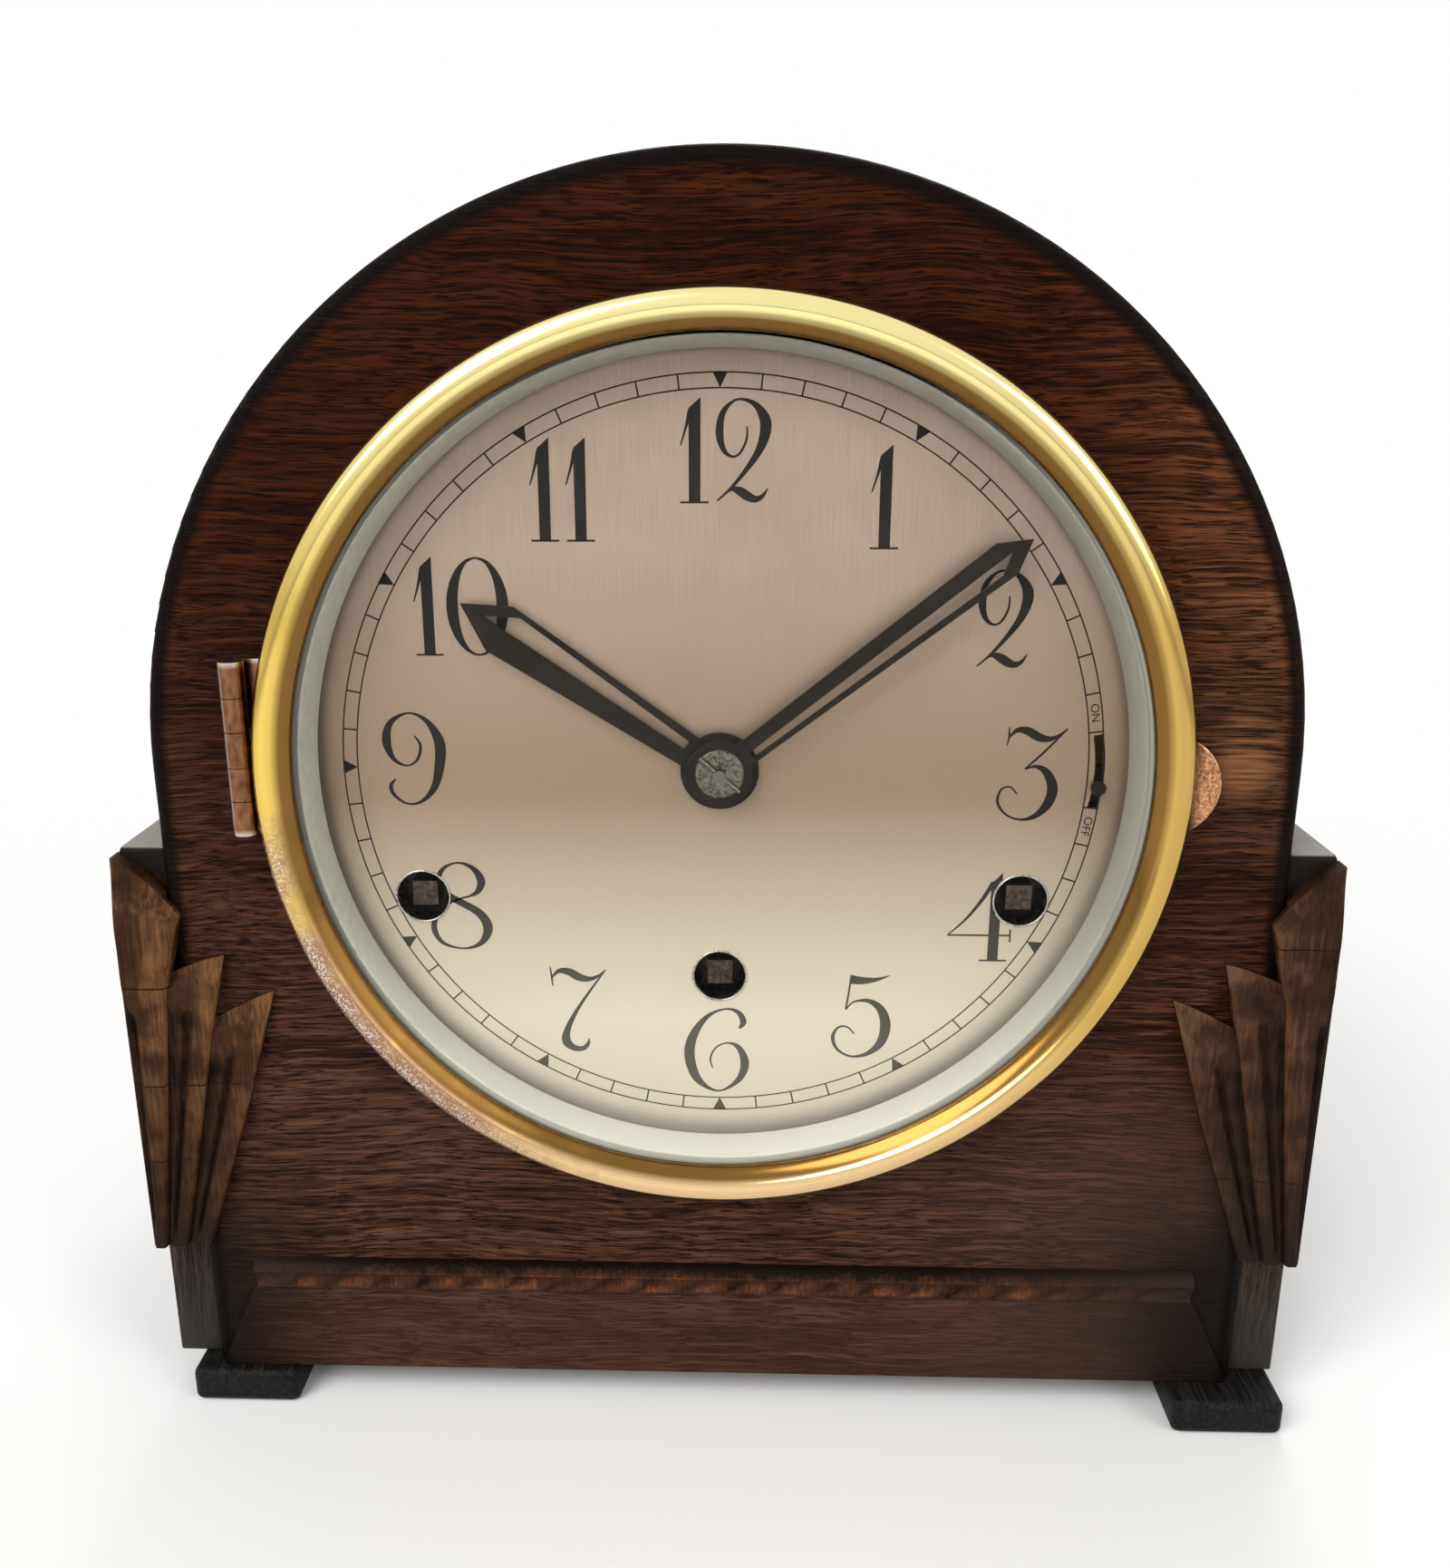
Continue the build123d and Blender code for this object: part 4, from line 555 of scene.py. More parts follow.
# the section's radii and depths in mm; depths in front of the board's face are below zero
shoulder_wide, shoulder_high, shoulder_foot, squareness = 3.4, 3.3, -3.7, 0.85
lip, rebate, crest = bezel_outer - 7.3, bezel_outer - 5.1, bezel_outer - shoulder_wide
lip_front, glass_seat, ring_back, crest_front = -4.3, -3.2, -1.0, -7.0
inside = (crest, -2.0)
section = [(lip, lip_front), (lip, glass_seat), (rebate, glass_seat), (rebate, ring_back),
           (bezel_outer - 0.2, ring_back), (bezel_outer, ring_back - 0.2)]
# the outer shoulder is a quarter of a squarish ellipse, so it leaves the edge upright and meets the crest flat
for t in [pi / 2 * k / 14 for k in range(15)]:
    section.append((crest + shoulder_wide * abs(cos(t)) ** squareness,
                    shoulder_foot - shoulder_high * sin(t) ** squareness))
section += round_between((crest, crest_front), (slope_radius + 0.1, -6.6), 5.0, inside, 4)[1:]
section += round_between((slope_radius, -6.42), (lip, lip_front), 7.5, inside, 6)
ring = spun("bezel_ring_spun", section, brass_bezel)
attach(ring, "bezel")
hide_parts("bezel_ring")
print("bezel", round(2 * bezel_outer, 1), "mm across,", len(ring.data.polygons), "faces")

# %% Convex glass and sight ring
rim, edge, rise, thick, seat = lip + 2.0, lip - 0.4, 6.0, 1.8, glass_seat
ball = (edge**2 + rise**2) / (2 * rise)
dome = [(edge * k / 32, seat - rise + ball - sqrt(ball**2 - (edge * k / 32) ** 2)) for k in range(33)]
section = dome + [(rim - 0.1, seat), (rim, seat + 0.1), (rim, seat + thick - 0.1), (rim - 0.1, seat + thick)]
section += [(r, depth + thick) for r, depth in reversed(dome)]
pane = spun("bezel_glass_convex", section, glass, closed=False)
# the ring's flange lies behind the glass, and its cone runs down to the dial
sight = [(rim, -1.4), (lip - 0.7, -1.4), (lip - 1.0, -1.1), (lip - 2.55, 4.3), (lip - 2.5, 4.65), (lip - 2.2, 4.7),
         (lip - 2.0, 4.5), (lip - 0.1, -0.9), (lip, -1.0), (rim, -1.0)]
cone = spun("sight_ring_enamelled", sight, enamel)
for piece, node, slot in ((pane, "bezel_glass", "glass"), (cone, "sight_ring", "sight")):
    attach(piece, "bezel")
    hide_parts(node)
print("glass", len(pane.data.polygons), "faces, sight ring", len(cone.data.polygons))

# %% [markdown]
# ## The carved fans
# On each shoulder a carver cut three stepped leaves from one piece of oak: a slanted chisel cut at the top,
# a gouged groove down the blade, and a low band beside a high one. Each leaf is a grid of
# points between its two edges, and its height is a rule of the place on the leaf. The grid also stores how
# worn each point is, together with painted light and shade, so that the finish shows pale worn edges, a paler
# high band and top cut, and dark painted shade in the groove and the low band.

# %% Carved oak finish
def carved_oak(name, cracks, mid, pale, zones):
    """Oak carving: dark in valleys as painted shade, pale on worn ridges and painted-lit faces, cracked at heights in
    mm and outside a distance across.
    """
    material, tree, surface = new_finish(name, **{"Specular IOR Level": 0.05})
    where = add(tree, "TexCoord", out="Object")
    # the worn attribute holds real wear together with painted light and shade
    worn = add(tree, "Attribute", out="Fac", attribute_name="worn")
    # blotches 5 mm across and fibres 9 mm long and 0.6 mm wide, upright along the leaves
    blotch = add(tree, "TexNoise", {"Vector": where, "Scale": 1 / (5 * MM), "Detail": 6})
    fibre = streaked(tree, where, (0.6, 0.6, 9), 3)
    share = add(tree, "Math", (blotch, 1.5, fibre), operation="MULTIPLY_ADD")
    share = add(tree, "Math", (share, worn), operation="ADD")
    colour = linear("#130b07")
    for low, high, other in ((1.05, 1.75, mid), (1.75, 2.35, pale)):
        part = add(tree, "MapRange", {"Value": share, "From Min": low, "From Max": high})
        colour = add(tree, "Mix", {0: part, 6: colour, 7: linear(other)}, data_type="RGBA", out=2)
    x, y, height = add(tree, "SeparateXYZ", {"Vector": where}).node.outputs
    side = add(tree, "Math", [x], operation="ABSOLUTE")
    height = add(tree, "Math", (blotch, 1.2 * MM, height), operation="MULTIPLY_ADD")
    crack_half = 0.16 * MM
    for level, reach in cracks:
        line = add(tree, "Math", (height, level * MM, crack_half), operation="COMPARE")
        here = add(tree, "Math", (side, reach * MM), operation="GREATER_THAN")
        line = add(tree, "Math", (line, here), operation="MULTIPLY")
        colour = add(tree, "Mix", {0: line, 6: colour, 7: linear("#1a0f09")}, data_type="RGBA", out=2)
    gloss = add(tree, "MapRange", {"Value": blotch, "To Min": 0.35, "To Max": 0.65})
    relief = add(tree, "Math", (blotch, fibre), operation="ADD")
    bump = add(tree, "Bump", {"Height": relief, "Strength": 0.6, "Distance": 0.45 * MM})
    dress(tree, surface, zoned(tree, colour, zones), gloss, bump)
    return material


# %% Carve the leaves
pillar_low, pillar_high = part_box("left_pillar")
fan_outer, shoulder = -pillar_low.x / MM, pillar_high.z / MM
pillar_depth = (pillar_low.y - board_face) / MM
fan_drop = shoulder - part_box("left_carved_fan")[0].z / MM
# each leaf in mm: how proud it is, the corners of its top, the bend of its inner side, its foot, the length of
# the chisel cut at its two ends, where across and how far up its groove lies, and how far its top edge bulges
leaves = (
    (4.2, (0.0, 1.2), (12.4, 12.9), (8.8, 28.3), (0.0, 2.8), (13.9, 2.7), 0.22, 0.66, 1.4),
    (3.4, (8.0, 25.8), (20.3, 21.2), (16.6, 37.8), (1.2, 6.8), (2.3, 7.0), 0.50, 0.86, 0.5),
    (2.6, (15.8, 35.6), (29.5, 28.8), (22.6, 52.8), (5.2, 11.6), (2.7, 10.0), 0.50, 0.82, 0.4),
)
rows, columns = 96, 28
# in mm: how far in a leaf's edge is rounded, how deep the groove and the low band beside it are cut
edge_round, groove_deep, band_deep = 0.8, 1.15, 0.75


def eased(value):
    """Smooth step from 0 to 1."""
    value = min(max(value, 0.0), 1.0)
    return value * value * (3 - 2 * value)


def carve_leaf(side, leaf, points, faces, wear_and_painted_light, shade):
    """Adds one leaf's carved front, its walls and its back to the lists."""
    proud, top, tip, bend, foot, cut, groove_at, groove_top, bulge = leaf
    inner = [Vector((foot[1], fan_drop)), Vector(bend), Vector(tip)]
    outer = [Vector((foot[0], fan_drop)), Vector(top)]
    share = (inner[1] - inner[0]).length / ((inner[1] - inner[0]).length + (inner[2] - inner[1]).length)
    start = len(points)
    for row in range(rows + 1):
        v = row / rows
        # five places averaged round off the bend of the inner edge, less so towards its ends
        edge = Vector((0, 0))
        for shift in (-0.06, -0.03, 0.0, 0.03, 0.06):
            w = v + shift * min(min(v, 1 - v) / 0.1, 1)
            if w < share:
                edge += inner[0].lerp(inner[1], w / share) / 5
            else:
                edge += inner[1].lerp(inner[2], (w - share) / (1 - share)) / 5
        left = outer[0].lerp(outer[1], v)
        width, length = (edge - left).length, (outer[1] - outer[0]).length
        for column in range(columns + 1):
            u = column / columns
            spot = left.lerp(edge, u)
            border = min(u, 1 - u) * width
            from_top = (1 - v) * length
            across = (u - groove_at) * width
            half = 0.35 + 0.75 * v
            gouge = exp(-(across / half) ** 2) * eased((groove_top - v) / 0.035) * eased(v / 0.1)
            slope = eased(from_top / (cut[0] + (cut[1] - cut[0]) * u))
            low = eased((groove_at - u) / groove_at * 1.4) * eased((groove_top + 0.06 - v) / 0.1)
            round_edge = sqrt(1 - (1 - min(border / edge_round, 1)) ** 2)
            grit = noise.noise(Vector((spot.x * 0.45, spot.y * 0.3, proud))) * 0.22
            grit += noise.noise(Vector((spot.x * 1.6, spot.y * 1.1, proud + 7))) * 0.08
            height = proud * (0.72 + 0.28 * round_edge) * (0.42 + 0.58 * slope)
            height += (grit - 0.28) * round_edge - (groove_deep * gouge + band_deep * low) * round_edge
            height = min(max(height, 0.3), proud)
            x = side * (fan_outer - spot.x)
            lift = bulge * 4 * u * (1 - u) * eased((v - 0.7) / 0.3)
            points.append(place(x, -height, shoulder - spot.y + lift))
            # paleness: real wear on the rounded edges, wear and painted light on the top cut, painted light on the
            # high band, painted shade in the groove and the low band, darker at the foot; shade lowers it all for the
            # fan in painted shade
            pale = 0.36 + 0.3 * eased((u - groove_at) * 2.2) - 0.5 * low - 0.8 * gouge
            pale += (0.4 - 0.02 * cut[0] ** 1.2) * (1 - slope) + 0.6 * eased(1 - border / edge_round) * v
            pale -= 0.3 * eased((0.3 - v) / 0.3)
            wear_and_painted_light.append(min(max(pale * shade, 0), 1))
    # the back lies on the board or, farther out, on the pillar
    back = len(points)
    for front in points[start:back]:
        seat = pillar_depth if abs(front.x) / MM > board_half else 0.0
        points.append(Vector((front.x, board_face + seat * MM, front.z)))
        wear_and_painted_light.append(0.0)
    faces += grid_faces(start, rows, columns)
    faces += [face[::-1] for face in grid_faces(back, rows, columns)]
    border = list(range(columns + 1)) + [r * (columns + 1) + columns for r in range(1, rows + 1)]
    border += [rows * (columns + 1) + c for c in range(columns - 1, -1, -1)]
    border += [r * (columns + 1) for r in range(rows - 1, 0, -1)]
    for here, there in zip(border, border[1:] + border[:1]):
        faces.append((start + there, start + here, back + here, back + there))


# %% Both fans
foot_grime = (("height", -50, -112, "#1f1713"),)
# the right fan has darker colours and a smaller shade factor: painted shade, as it faces away from the light
for side, node, cracks, mid, pale, shade in (
    (-1, "left_carved_fan", ((96.6, 107.5), (75.4, 96), (58.4, 107.5)), "#3f2818", "#765030", 1.0),
    (1, "right_carved_fan", ((107.0, 106), (57.2, 100)), "#35231a", "#624430", 0.95),
):
    fan = bpy.data.meshes.new(node + "_carving")
    points, faces, wear_and_painted_light = [], [], []
    for leaf in leaves:
        carve_leaf(side, leaf, points, faces, wear_and_painted_light, shade)
    fan.from_pydata([tuple(p) for p in points], [], faces)
    fan.attributes.new("worn", "FLOAT", "POINT").data.foreach_set("value", wear_and_painted_light)
    with edited(fan) as work:
        turn_outwards(work)
    fan.materials.append(carved_oak(node + "_oak_carved", cracks, mid, pale, foot_grime))
    fan.set_sharp_from_angle(angle=radians(50))
    piece = linked(node + "_carving", fan)
    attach(piece, "case")
    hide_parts(node)
    print(node, len(fan.polygons), "faces")

# %% [markdown]
# ## The carved bead
# A half-round bead runs across the foot of the board. Its lower edge was chip-carved: a gouge cut the same
# scallop again and again. One scallop is modelled, and a Geometry Nodes tree lays copies of it end to end.

# %% One scallop of the bead
bead_low, bead_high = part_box("carved_bead")
bead_length, bead_height = (bead_high.x - bead_low.x) / MM, (bead_high.z - bead_low.z) / MM
bead_proud = (board_face - bead_low.y) / MM
rail_proud = (board_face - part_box("plinth_rail")[0].y) / MM
scallops = 21
pitch_mm = bead_length / scallops
lengths, rises = 24, 10
ridge_at, ridge_proud, gouge_deep = 0.68, 0.84 * bead_proud, 1.2
points, faces, wear_and_painted_light = [], [], []
for i in range(lengths + 1):
    s = i / lengths
    # places of the section as shares of the height and how proud they are in mm, and how worn and lit each is
    profile, wear_and_painted_light_here = [(0.0, 0.0), (0.0, rail_proud + 0.05)], [0.0, 0.2]
    # the gouged face from the rail up to the ridge: the gouge went in aslant, so its cut leans as it rises
    for k in range(1, rises + 1):
        h = k / rises
        hollow = sin(pi * ((s + 0.45 * (1 - h) ** 1.5) % 1)) ** 0.6
        flat = rail_proud + (ridge_proud - rail_proud) * h
        profile.append((ridge_at * h, flat - gouge_deep * hollow * sin(pi * h) ** 0.7))
        # paler in the hollows, with a painted highlight along the ridge
        wear_and_painted_light_here.append(-0.1 + 0.8 * hollow * (1 - 0.5 * h) + 0.45 * (k == rises))
    # then the plain slope back to the board, darker towards it: dark stain and the painted shadow line above the bead
    for t in (0.1, 0.3, 0.5, 0.7, 0.85, 0.95, 1.0):
        profile.append((ridge_at + (1 - ridge_at) * t, ridge_proud * sqrt(1 - t * t)))
        wear_and_painted_light_here.append(0.3 - 0.75 * t)
    points += [(s * pitch_mm * MM, -proud * MM, (h - 0.5) * bead_height * MM) for h, proud in profile]
    wear_and_painted_light += wear_and_painted_light_here
ring_size = len(profile)
for i in range(lengths):
    for k in range(ring_size):
        a, b = i * ring_size + k, i * ring_size + (k + 1) % ring_size
        faces.append((a, a + ring_size, b + ring_size, b))
scallop = bpy.data.meshes.new("bead_scallop")
scallop.from_pydata(points, [], faces)
scallop.attributes.new("worn", "FLOAT", "POINT").data.foreach_set("value", wear_and_painted_light)
print("one scallop is", round(pitch_mm, 2), "mm long")


# %% Lay the scallops end to end
def grown(name, mesh, build, material, **sizes):
    """Runs a Geometry Nodes tree on a mesh and gives the result as a plain mesh object."""
    tree = bpy.data.node_groups.new(name, "GeometryNodeTree")
    sockets = [("Geometry", "Geometry"), ("Material", "Material")]
    sockets += [(size, "Int" if isinstance(value, int) else "Float") for size, value in sizes.items()]
    for label, kind in sockets:
        tree.interface.new_socket(label, in_out="INPUT", socket_type="NodeSocket" + kind)
    tree.interface.new_socket("Geometry", in_out="OUTPUT", socket_type="NodeSocketGeometry")
    given = add(tree, "NodeGroupInput").node.outputs
    laid = add(tree, "GeometryNodeRealizeInstances", [build(tree, given)])
    laid = add(tree, "GeometryNodeMergeByDistance", {0: laid, "Distance": 1e-6})
    laid = add(tree, "GeometryNodeSetMaterial", {0: laid, "Material": given["Material"]})
    add(tree, "NodeGroupOutput", [laid])
    holder = linked(name + "_rule", mesh)
    modifier = holder.modifiers.new(name, "NODES")
    modifier.node_group = tree
    values = dict(sizes, Material=material)
    for socket in tree.interface.items_tree:
        if socket.in_out == "INPUT" and socket.name in values:
            modifier[socket.identifier] = values[socket.name]
    return linked(name, baked(holder))


def bead_rule(tree, given):
    """Copies of the scallop on a line of points, one pitch apart."""
    step = add(tree, "CombineXYZ", {"X": given["Pitch"]})
    first = (bead_low.x, board_face, (bead_low.z + bead_high.z) / 2)
    line = add(tree, "GeometryNodeMeshLine", {"Count": given["Scallops"], "Offset": step, "Start Location": first})
    return add(tree, "GeometryNodeInstanceOnPoints", {"Points": line, "Instance": given["Geometry"]})


dark_ends = (("across", 45, 95, "#2b211c"), ("across", -70, -102, "#2b211c"))
bead_oak = carved_oak("carved_bead_oak", (), "#462b1d", "#8a4f26", dark_ends)
bead = grown("carved_bead_scallops", scallop, bead_rule, bead_oak, Scallops=scallops, Pitch=pitch_mm * MM)
with edited(bead.data) as work:
    bmesh.ops.holes_fill(work, edges=[e for e in work.edges if e.is_boundary], sides=0)
    turn_outwards(work)
bead.data.set_sharp_from_angle(angle=radians(40))
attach(bead, "case")
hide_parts("carved_bead")
print("bead", len(bead.data.polygons), "faces")

# %% [markdown]
# ## The minute track
# The dial is printed: two thin circles, sixty minute strokes between them, and a small triangle at each hour.
# A row of equal marks round a circle is just what Geometry Nodes do well, so one tree draws the whole track
# flat and then stands it up in front of the dial. The mark at a quarter past gives way to the chime lever's slot.

# %% Draw the minute track
# in mm: how far the print stands before the dial's face, and the radii of its two circles
print_gap, track_inner, track_outer = 0.03, 70.2, 72.9


def track_rule(tree, given):
    """Two circles, minute strokes and hour triangles, drawn flat round the origin and then stood up."""
    middle = add(tree, "Math", (given["Inner"], given["Outer"]), operation="ADD")
    middle = add(tree, "Math", (middle, 0.5), operation="MULTIPLY")
    band = add(tree, "Math", (given["Outer"], given["Inner"]), operation="SUBTRACT")
    index = add(tree, "GeometryNodeInputIndex")
    turn = add(tree, "Math", (index, 2 * pi / 60), operation="MULTIPLY")
    fifth = add(tree, "Math", (index, 5.0), operation="MODULO")
    hour = add(tree, "Math", (fifth, 0.5), operation="LESS_THAN")
    minute = add(tree, "Math", (1.0, hour), operation="SUBTRACT")
    printed = add(tree, "Math", (index, 0.5), operation="GREATER_THAN")
    hour = add(tree, "Math", (hour, printed), operation="MULTIPLY")
    stroke = add(tree, "GeometryNodeMeshGrid", {"Size X": band, "Size Y": given["Stroke"], "Vertices X": 2,
                                                "Vertices Y": 2})
    ring = add(tree, "GeometryNodeMeshCircle", {"Vertices": 60, "Radius": middle})
    along = add(tree, "CombineXYZ", {"Z": turn})
    strokes = add(tree, "GeometryNodeInstanceOnPoints", {"Points": ring, "Selection": minute,
                                                         "Instance": stroke, "Rotation": along})
    arrow = add(tree, "GeometryNodeMeshCircle", {"Vertices": 3, "Radius": 1.0}, fill_type="NGON")
    tall = add(tree, "Math", (band, 1 / 1.5), operation="MULTIPLY")
    wide = add(tree, "Math", (given["Triangle"], 1 / sqrt(3)), operation="MULTIPLY")
    shape = add(tree, "CombineXYZ", {"X": tall, "Y": wide, "Z": 1.0})
    inwards = add(tree, "CombineXYZ", {"Z": add(tree, "Math", (turn, pi), operation="ADD")})
    base = add(tree, "Math", (band, -1 / 3, given["Outer"]), operation="MULTIPLY_ADD")
    ring = add(tree, "GeometryNodeMeshCircle", {"Vertices": 60, "Radius": base})
    arrows = add(tree, "GeometryNodeInstanceOnPoints", {"Points": ring, "Selection": hour, "Instance": arrow,
                                                        "Rotation": inwards, "Scale": shape})
    parts = [strokes, arrows]
    half = add(tree, "Math", (given["Line"], 0.5), operation="MULTIPLY")
    minus = add(tree, "Math", (half, -1.0), operation="MULTIPLY")
    pen_line = add(tree, "GeometryNodeCurvePrimitiveLine", {"Start": add(tree, "CombineXYZ", {"X": minus}),
                                                            "End": add(tree, "CombineXYZ", {"X": half})})
    for radius in ("Inner", "Outer"):
        circle = add(tree, "GeometryNodeCurvePrimitiveCircle", {"Resolution": 360, "Radius": given[radius]})
        parts.append(add(tree, "GeometryNodeCurveToMesh", (circle, pen_line)))
    track = add(tree, "GeometryNodeJoinGeometry")
    for part in parts:
        tree.links.new(part, track.node.inputs[0])
    return add(tree, "GeometryNodeTransform", {0: track, "Translation": on_dial(0, dial_front - print_gap, 0),
                                               "Rotation": (pi / 2, 0, 0)})


def face_reader(mesh):
    """Turns each printed face to look forwards."""
    with edited(mesh) as work:
        work.normal_update()
        bmesh.ops.reverse_faces(work, faces=[f for f in work.faces if f.normal.y > 0])


track = grown("minute_track_print", bpy.data.meshes.new("minute_track"), track_rule, ink, Inner=track_inner * MM,
              Outer=track_outer * MM, Stroke=0.32 * MM, Line=0.28 * MM, Triangle=2.7 * MM)
face_reader(track.data)
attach(track, "case")
flat = [v.co.y for v in track.data.vertices]
print("track", len(track.data.polygons), "faces, flat to", round((max(flat) - min(flat)) / MM, 4), "mm")

# %% [markdown]
# ## The numerals
# The numbers are upright, with thick and thin strokes like those of a broad pen. Each is drawn as such: a few
# places that the pen passes, with the width it has there, in hundredths of the number's height. A smooth curve
# through these places gives the two edges of the stroke.

# %% Pen strokes
# the hair line of the pen, in hundredths too
thinnest = 0.9


def pen(path, steps=14):
    """Left and right edges of a smooth stroke through places with x, y and width."""
    ends = [path[0]] + list(path) + [path[-1]]
    line = []
    for a, b, c, d in zip(ends, ends[1:], ends[2:], ends[3:]):
        for t in [k / steps for k in range(steps)]:
            line.append([0.5 * (2 * q + (r - p) * t + (2 * p - 5 * q + 4 * r - s) * t**2
                                + (3 * q - p - 3 * r + s) * t**3) for p, q, r, s in zip(a, b, c, d)])
    line.append(path[-1])
    pairs = []
    for i, (x, y, width) in enumerate(line):
        before, after = line[max(i - 1, 0)], line[min(i + 1, len(line) - 1)]
        run = Vector((after[0] - before[0], after[1] - before[1])).normalized()
        side = Vector((-run.y, run.x)) * max(width, thinnest) / 2
        pairs.append((Vector((x, y)) + side, Vector((x, y)) - side))
    return pairs


def edge_pairs(*pairs, steps=24):
    """A straight-sided stroke from pairs of left and right places."""
    filled = []
    for (a, b), (c, d) in zip(pairs, pairs[1:]):
        for t in [k / steps for k in range(steps + 1)]:
            filled.append((Vector(a).lerp(Vector(c), t), Vector(b).lerp(Vector(d), t)))
    return filled


oval = [(31 + 25.5 * sin(t), 50 + 48.9 * cos(t), 2.1 + 9.8 * sin(t) ** 2) for t in [pi * k / 8 for k in range(17)]]
wave = ((2, 87, 1.5), (10, 95, 5), (21, 94.4, 8.5), (32.3, 88, 9), (43.5, 86.2, 5.5), (53, 90, 3), (61, 97, 1.5))
digits = {
    "0": [pen(oval)],
    "1": [edge_pairs(((-5.6, 1), (5.8, 1)), ((-5.6, 90), (6.1, 90)), ((6.0, 100), (6.2, 100))),
          pen(((-4.4, 88, 4), (-7.6, 74, 2.8), (-13.5, 55, 1.3))),
          edge_pairs(((-14, 0), (-14, 2)), ((14, 0), (14, 2)))],
    "2": [pen(((30.6, 73, 1.5), (30, 60, 2.4), (23.5, 47.5, 2.4), (15.5, 44.6, 2.6), (7.6, 51.5, 5), (4, 67, 7.8),
               (7.5, 86, 5.5), (20.6, 97.6, 2.2), (37, 94, 5), (47.5, 80, 10.5), (48, 66, 10.5), (41.3, 48.3, 7.2),
               (28, 29.5, 4.4), (14, 13.4, 2.8), (1.6, 2.4, 1.6))),
          pen(((12.5, 11.5, 1.2), (18, 13.6, 5), (25, 11, 9), (32.2, 6.4, 9), (39.4, 4, 6.5), (46, 7, 4),
               (51.2, 14.4, 1)))],
    "3": [pen([(x + 9, y + 1.5, w) for x, y, w in wave]), pen(((11, 100, 1.4), (11.2, 90, 2.2), (9.7, 80.5, 1.3))),
          pen(((70, 98.5, 1.6), (49, 75.2, 2.4), (29, 55.5, 2))),
          pen(((29, 55.5, 1.4), (40.3, 58.6, 3.6), (51.7, 52.1, 8), (58.6, 36, 11), (55.2, 20, 10), (43.8, 6.4, 6),
               (28.3, 1.6, 2.6), (12.8, 6.9, 2.2), (3.3, 20, 3), (6.2, 33.6, 2.2), (15.2, 36.7, 1.8),
               (22.8, 29.3, 1.6)))],
    "4": [edge_pairs(((43.5, 1), (54.8, 1)), ((43.9, 88), (55.3, 88)), ((55.0, 100), (55.3, 100))),
          pen(((46, 90, 4.5), (35, 70, 4), (18.5, 47.5, 2.6), (0.5, 30, 1.4))),
          edge_pairs(((0, 28.8), (0, 30.8)), ((67, 28.8), (67, 30.8))),
          edge_pairs(((65.6, 22), (67.4, 22)), ((65.6, 37), (67.4, 37))),
          edge_pairs(((35, 0), (35, 2)), ((64, 0), (64, 2)))],
    "5": [pen(((21.6, 93.5, 10.5), (34, 92.3, 8.5), (49, 93.6, 4.5), (63, 98.4, 1))),
          pen(((22.2, 99, 2), (19.8, 78, 2.2), (17, 58.2, 2.2))),
          pen(((17, 58.2, 1.8), (26, 67.5, 2.2), (42, 68.4, 5), (55, 58.5, 9), (60.5, 40, 11.5), (56, 19.5, 9.5),
               (42, 6, 5), (24, 2.4, 2.5), (8.8, 11, 3.2), (3.8, 25.5, 4), (9.3, 36.6, 2.6), (19, 37.6, 2),
               (27, 29.5, 1.6)))],
    "6": [pen(((61, 76, 2.5), (65.5, 84, 7), (59.5, 95.5, 5), (45, 98.8, 2.2), (26, 89.6, 5), (11.5, 68.5, 9.5),
               (6.5, 45, 11.5), (13, 18.5, 9.5), (27.7, 3.6, 4), (43, 1.2, 2.2), (61, 14.6, 6.5), (67.5, 34, 9.5),
               (61, 52.5, 6), (49, 58.5, 2.2), (36, 53, 2), (29.6, 39.6, 2.2), (32.3, 28, 1.4)))],
    "7": [pen(wave), pen(((0.7, 100, 1.4), (2.2, 88, 2.2), (3, 77.7, 1.3))),
          pen(((61, 97, 1.5), (45.4, 75, 2.6), (28.6, 49, 4), (18, 27, 6.8), (16, 12.5, 10), (23.5, 4.4, 7.5),
               (34, 3.4, 5.5), (40, 9.5, 4), (41, 15.5, 1)))],
    "8": [pen(((44, 61.5, 2.5), (52.5, 67, 6), (56.5, 79, 9), (48.5, 92.5, 5.5), (33, 98.8, 2.2), (17, 92.5, 4),
               (10, 77, 8), (18.6, 63, 8.5), (34.6, 53.6, 8), (53.5, 41.5, 9), (61.5, 25, 10.5), (53.5, 8, 6),
               (34.6, 1.2, 2.2), (12, 7.5, 4), (3.2, 25, 6.4), (10, 44.6, 3.6), (26, 55.4, 2.2), (44, 61.5, 2.5)))],
    "9": [pen(((34.8, 75, 1.3), (40.5, 64, 3.2), (36, 49, 2.8), (24.4, 43, 2), (11, 51, 5), (5.3, 70, 9.5),
               (11, 89, 6), (29.6, 98.8, 2.2), (48, 91, 5), (60, 70, 11), (60, 48, 11), (53, 20.5, 7.5),
               (38.3, 4.2, 3.5), (22.6, 1.8, 2.2), (10, 11, 3.6), (7, 21, 4.2), (12.5, 28.5, 1.6)))],
}
print("digits drawn:", " ".join(sorted(digits)))

# %% Print the twelve numbers
numeral_height = 18.6
# where the middle of each number lies, in mm from the dial's centre
numeral_places = {"12": (1.0, 59.3), "1": (30.0, 51.0), "2": (52.8, 28.9), "3": (59.5, -0.8), "4": (51.3, -30.1),
                  "5": (28.6, -51.7), "6": (-0.6, -59.5), "7": (-28.6, -50.8), "8": (-51.6, -28.6), "9": (-59.0, 1.6),
                  "10": (-48.5, 31.1), "11": (-28.9, 52.4)}
second_digit = {"10": 19.6, "11": 35.5, "12": 20.4}
winding_places = ((-59.0, -26.5), (0.0, -43.0), (59.0, -26.5))
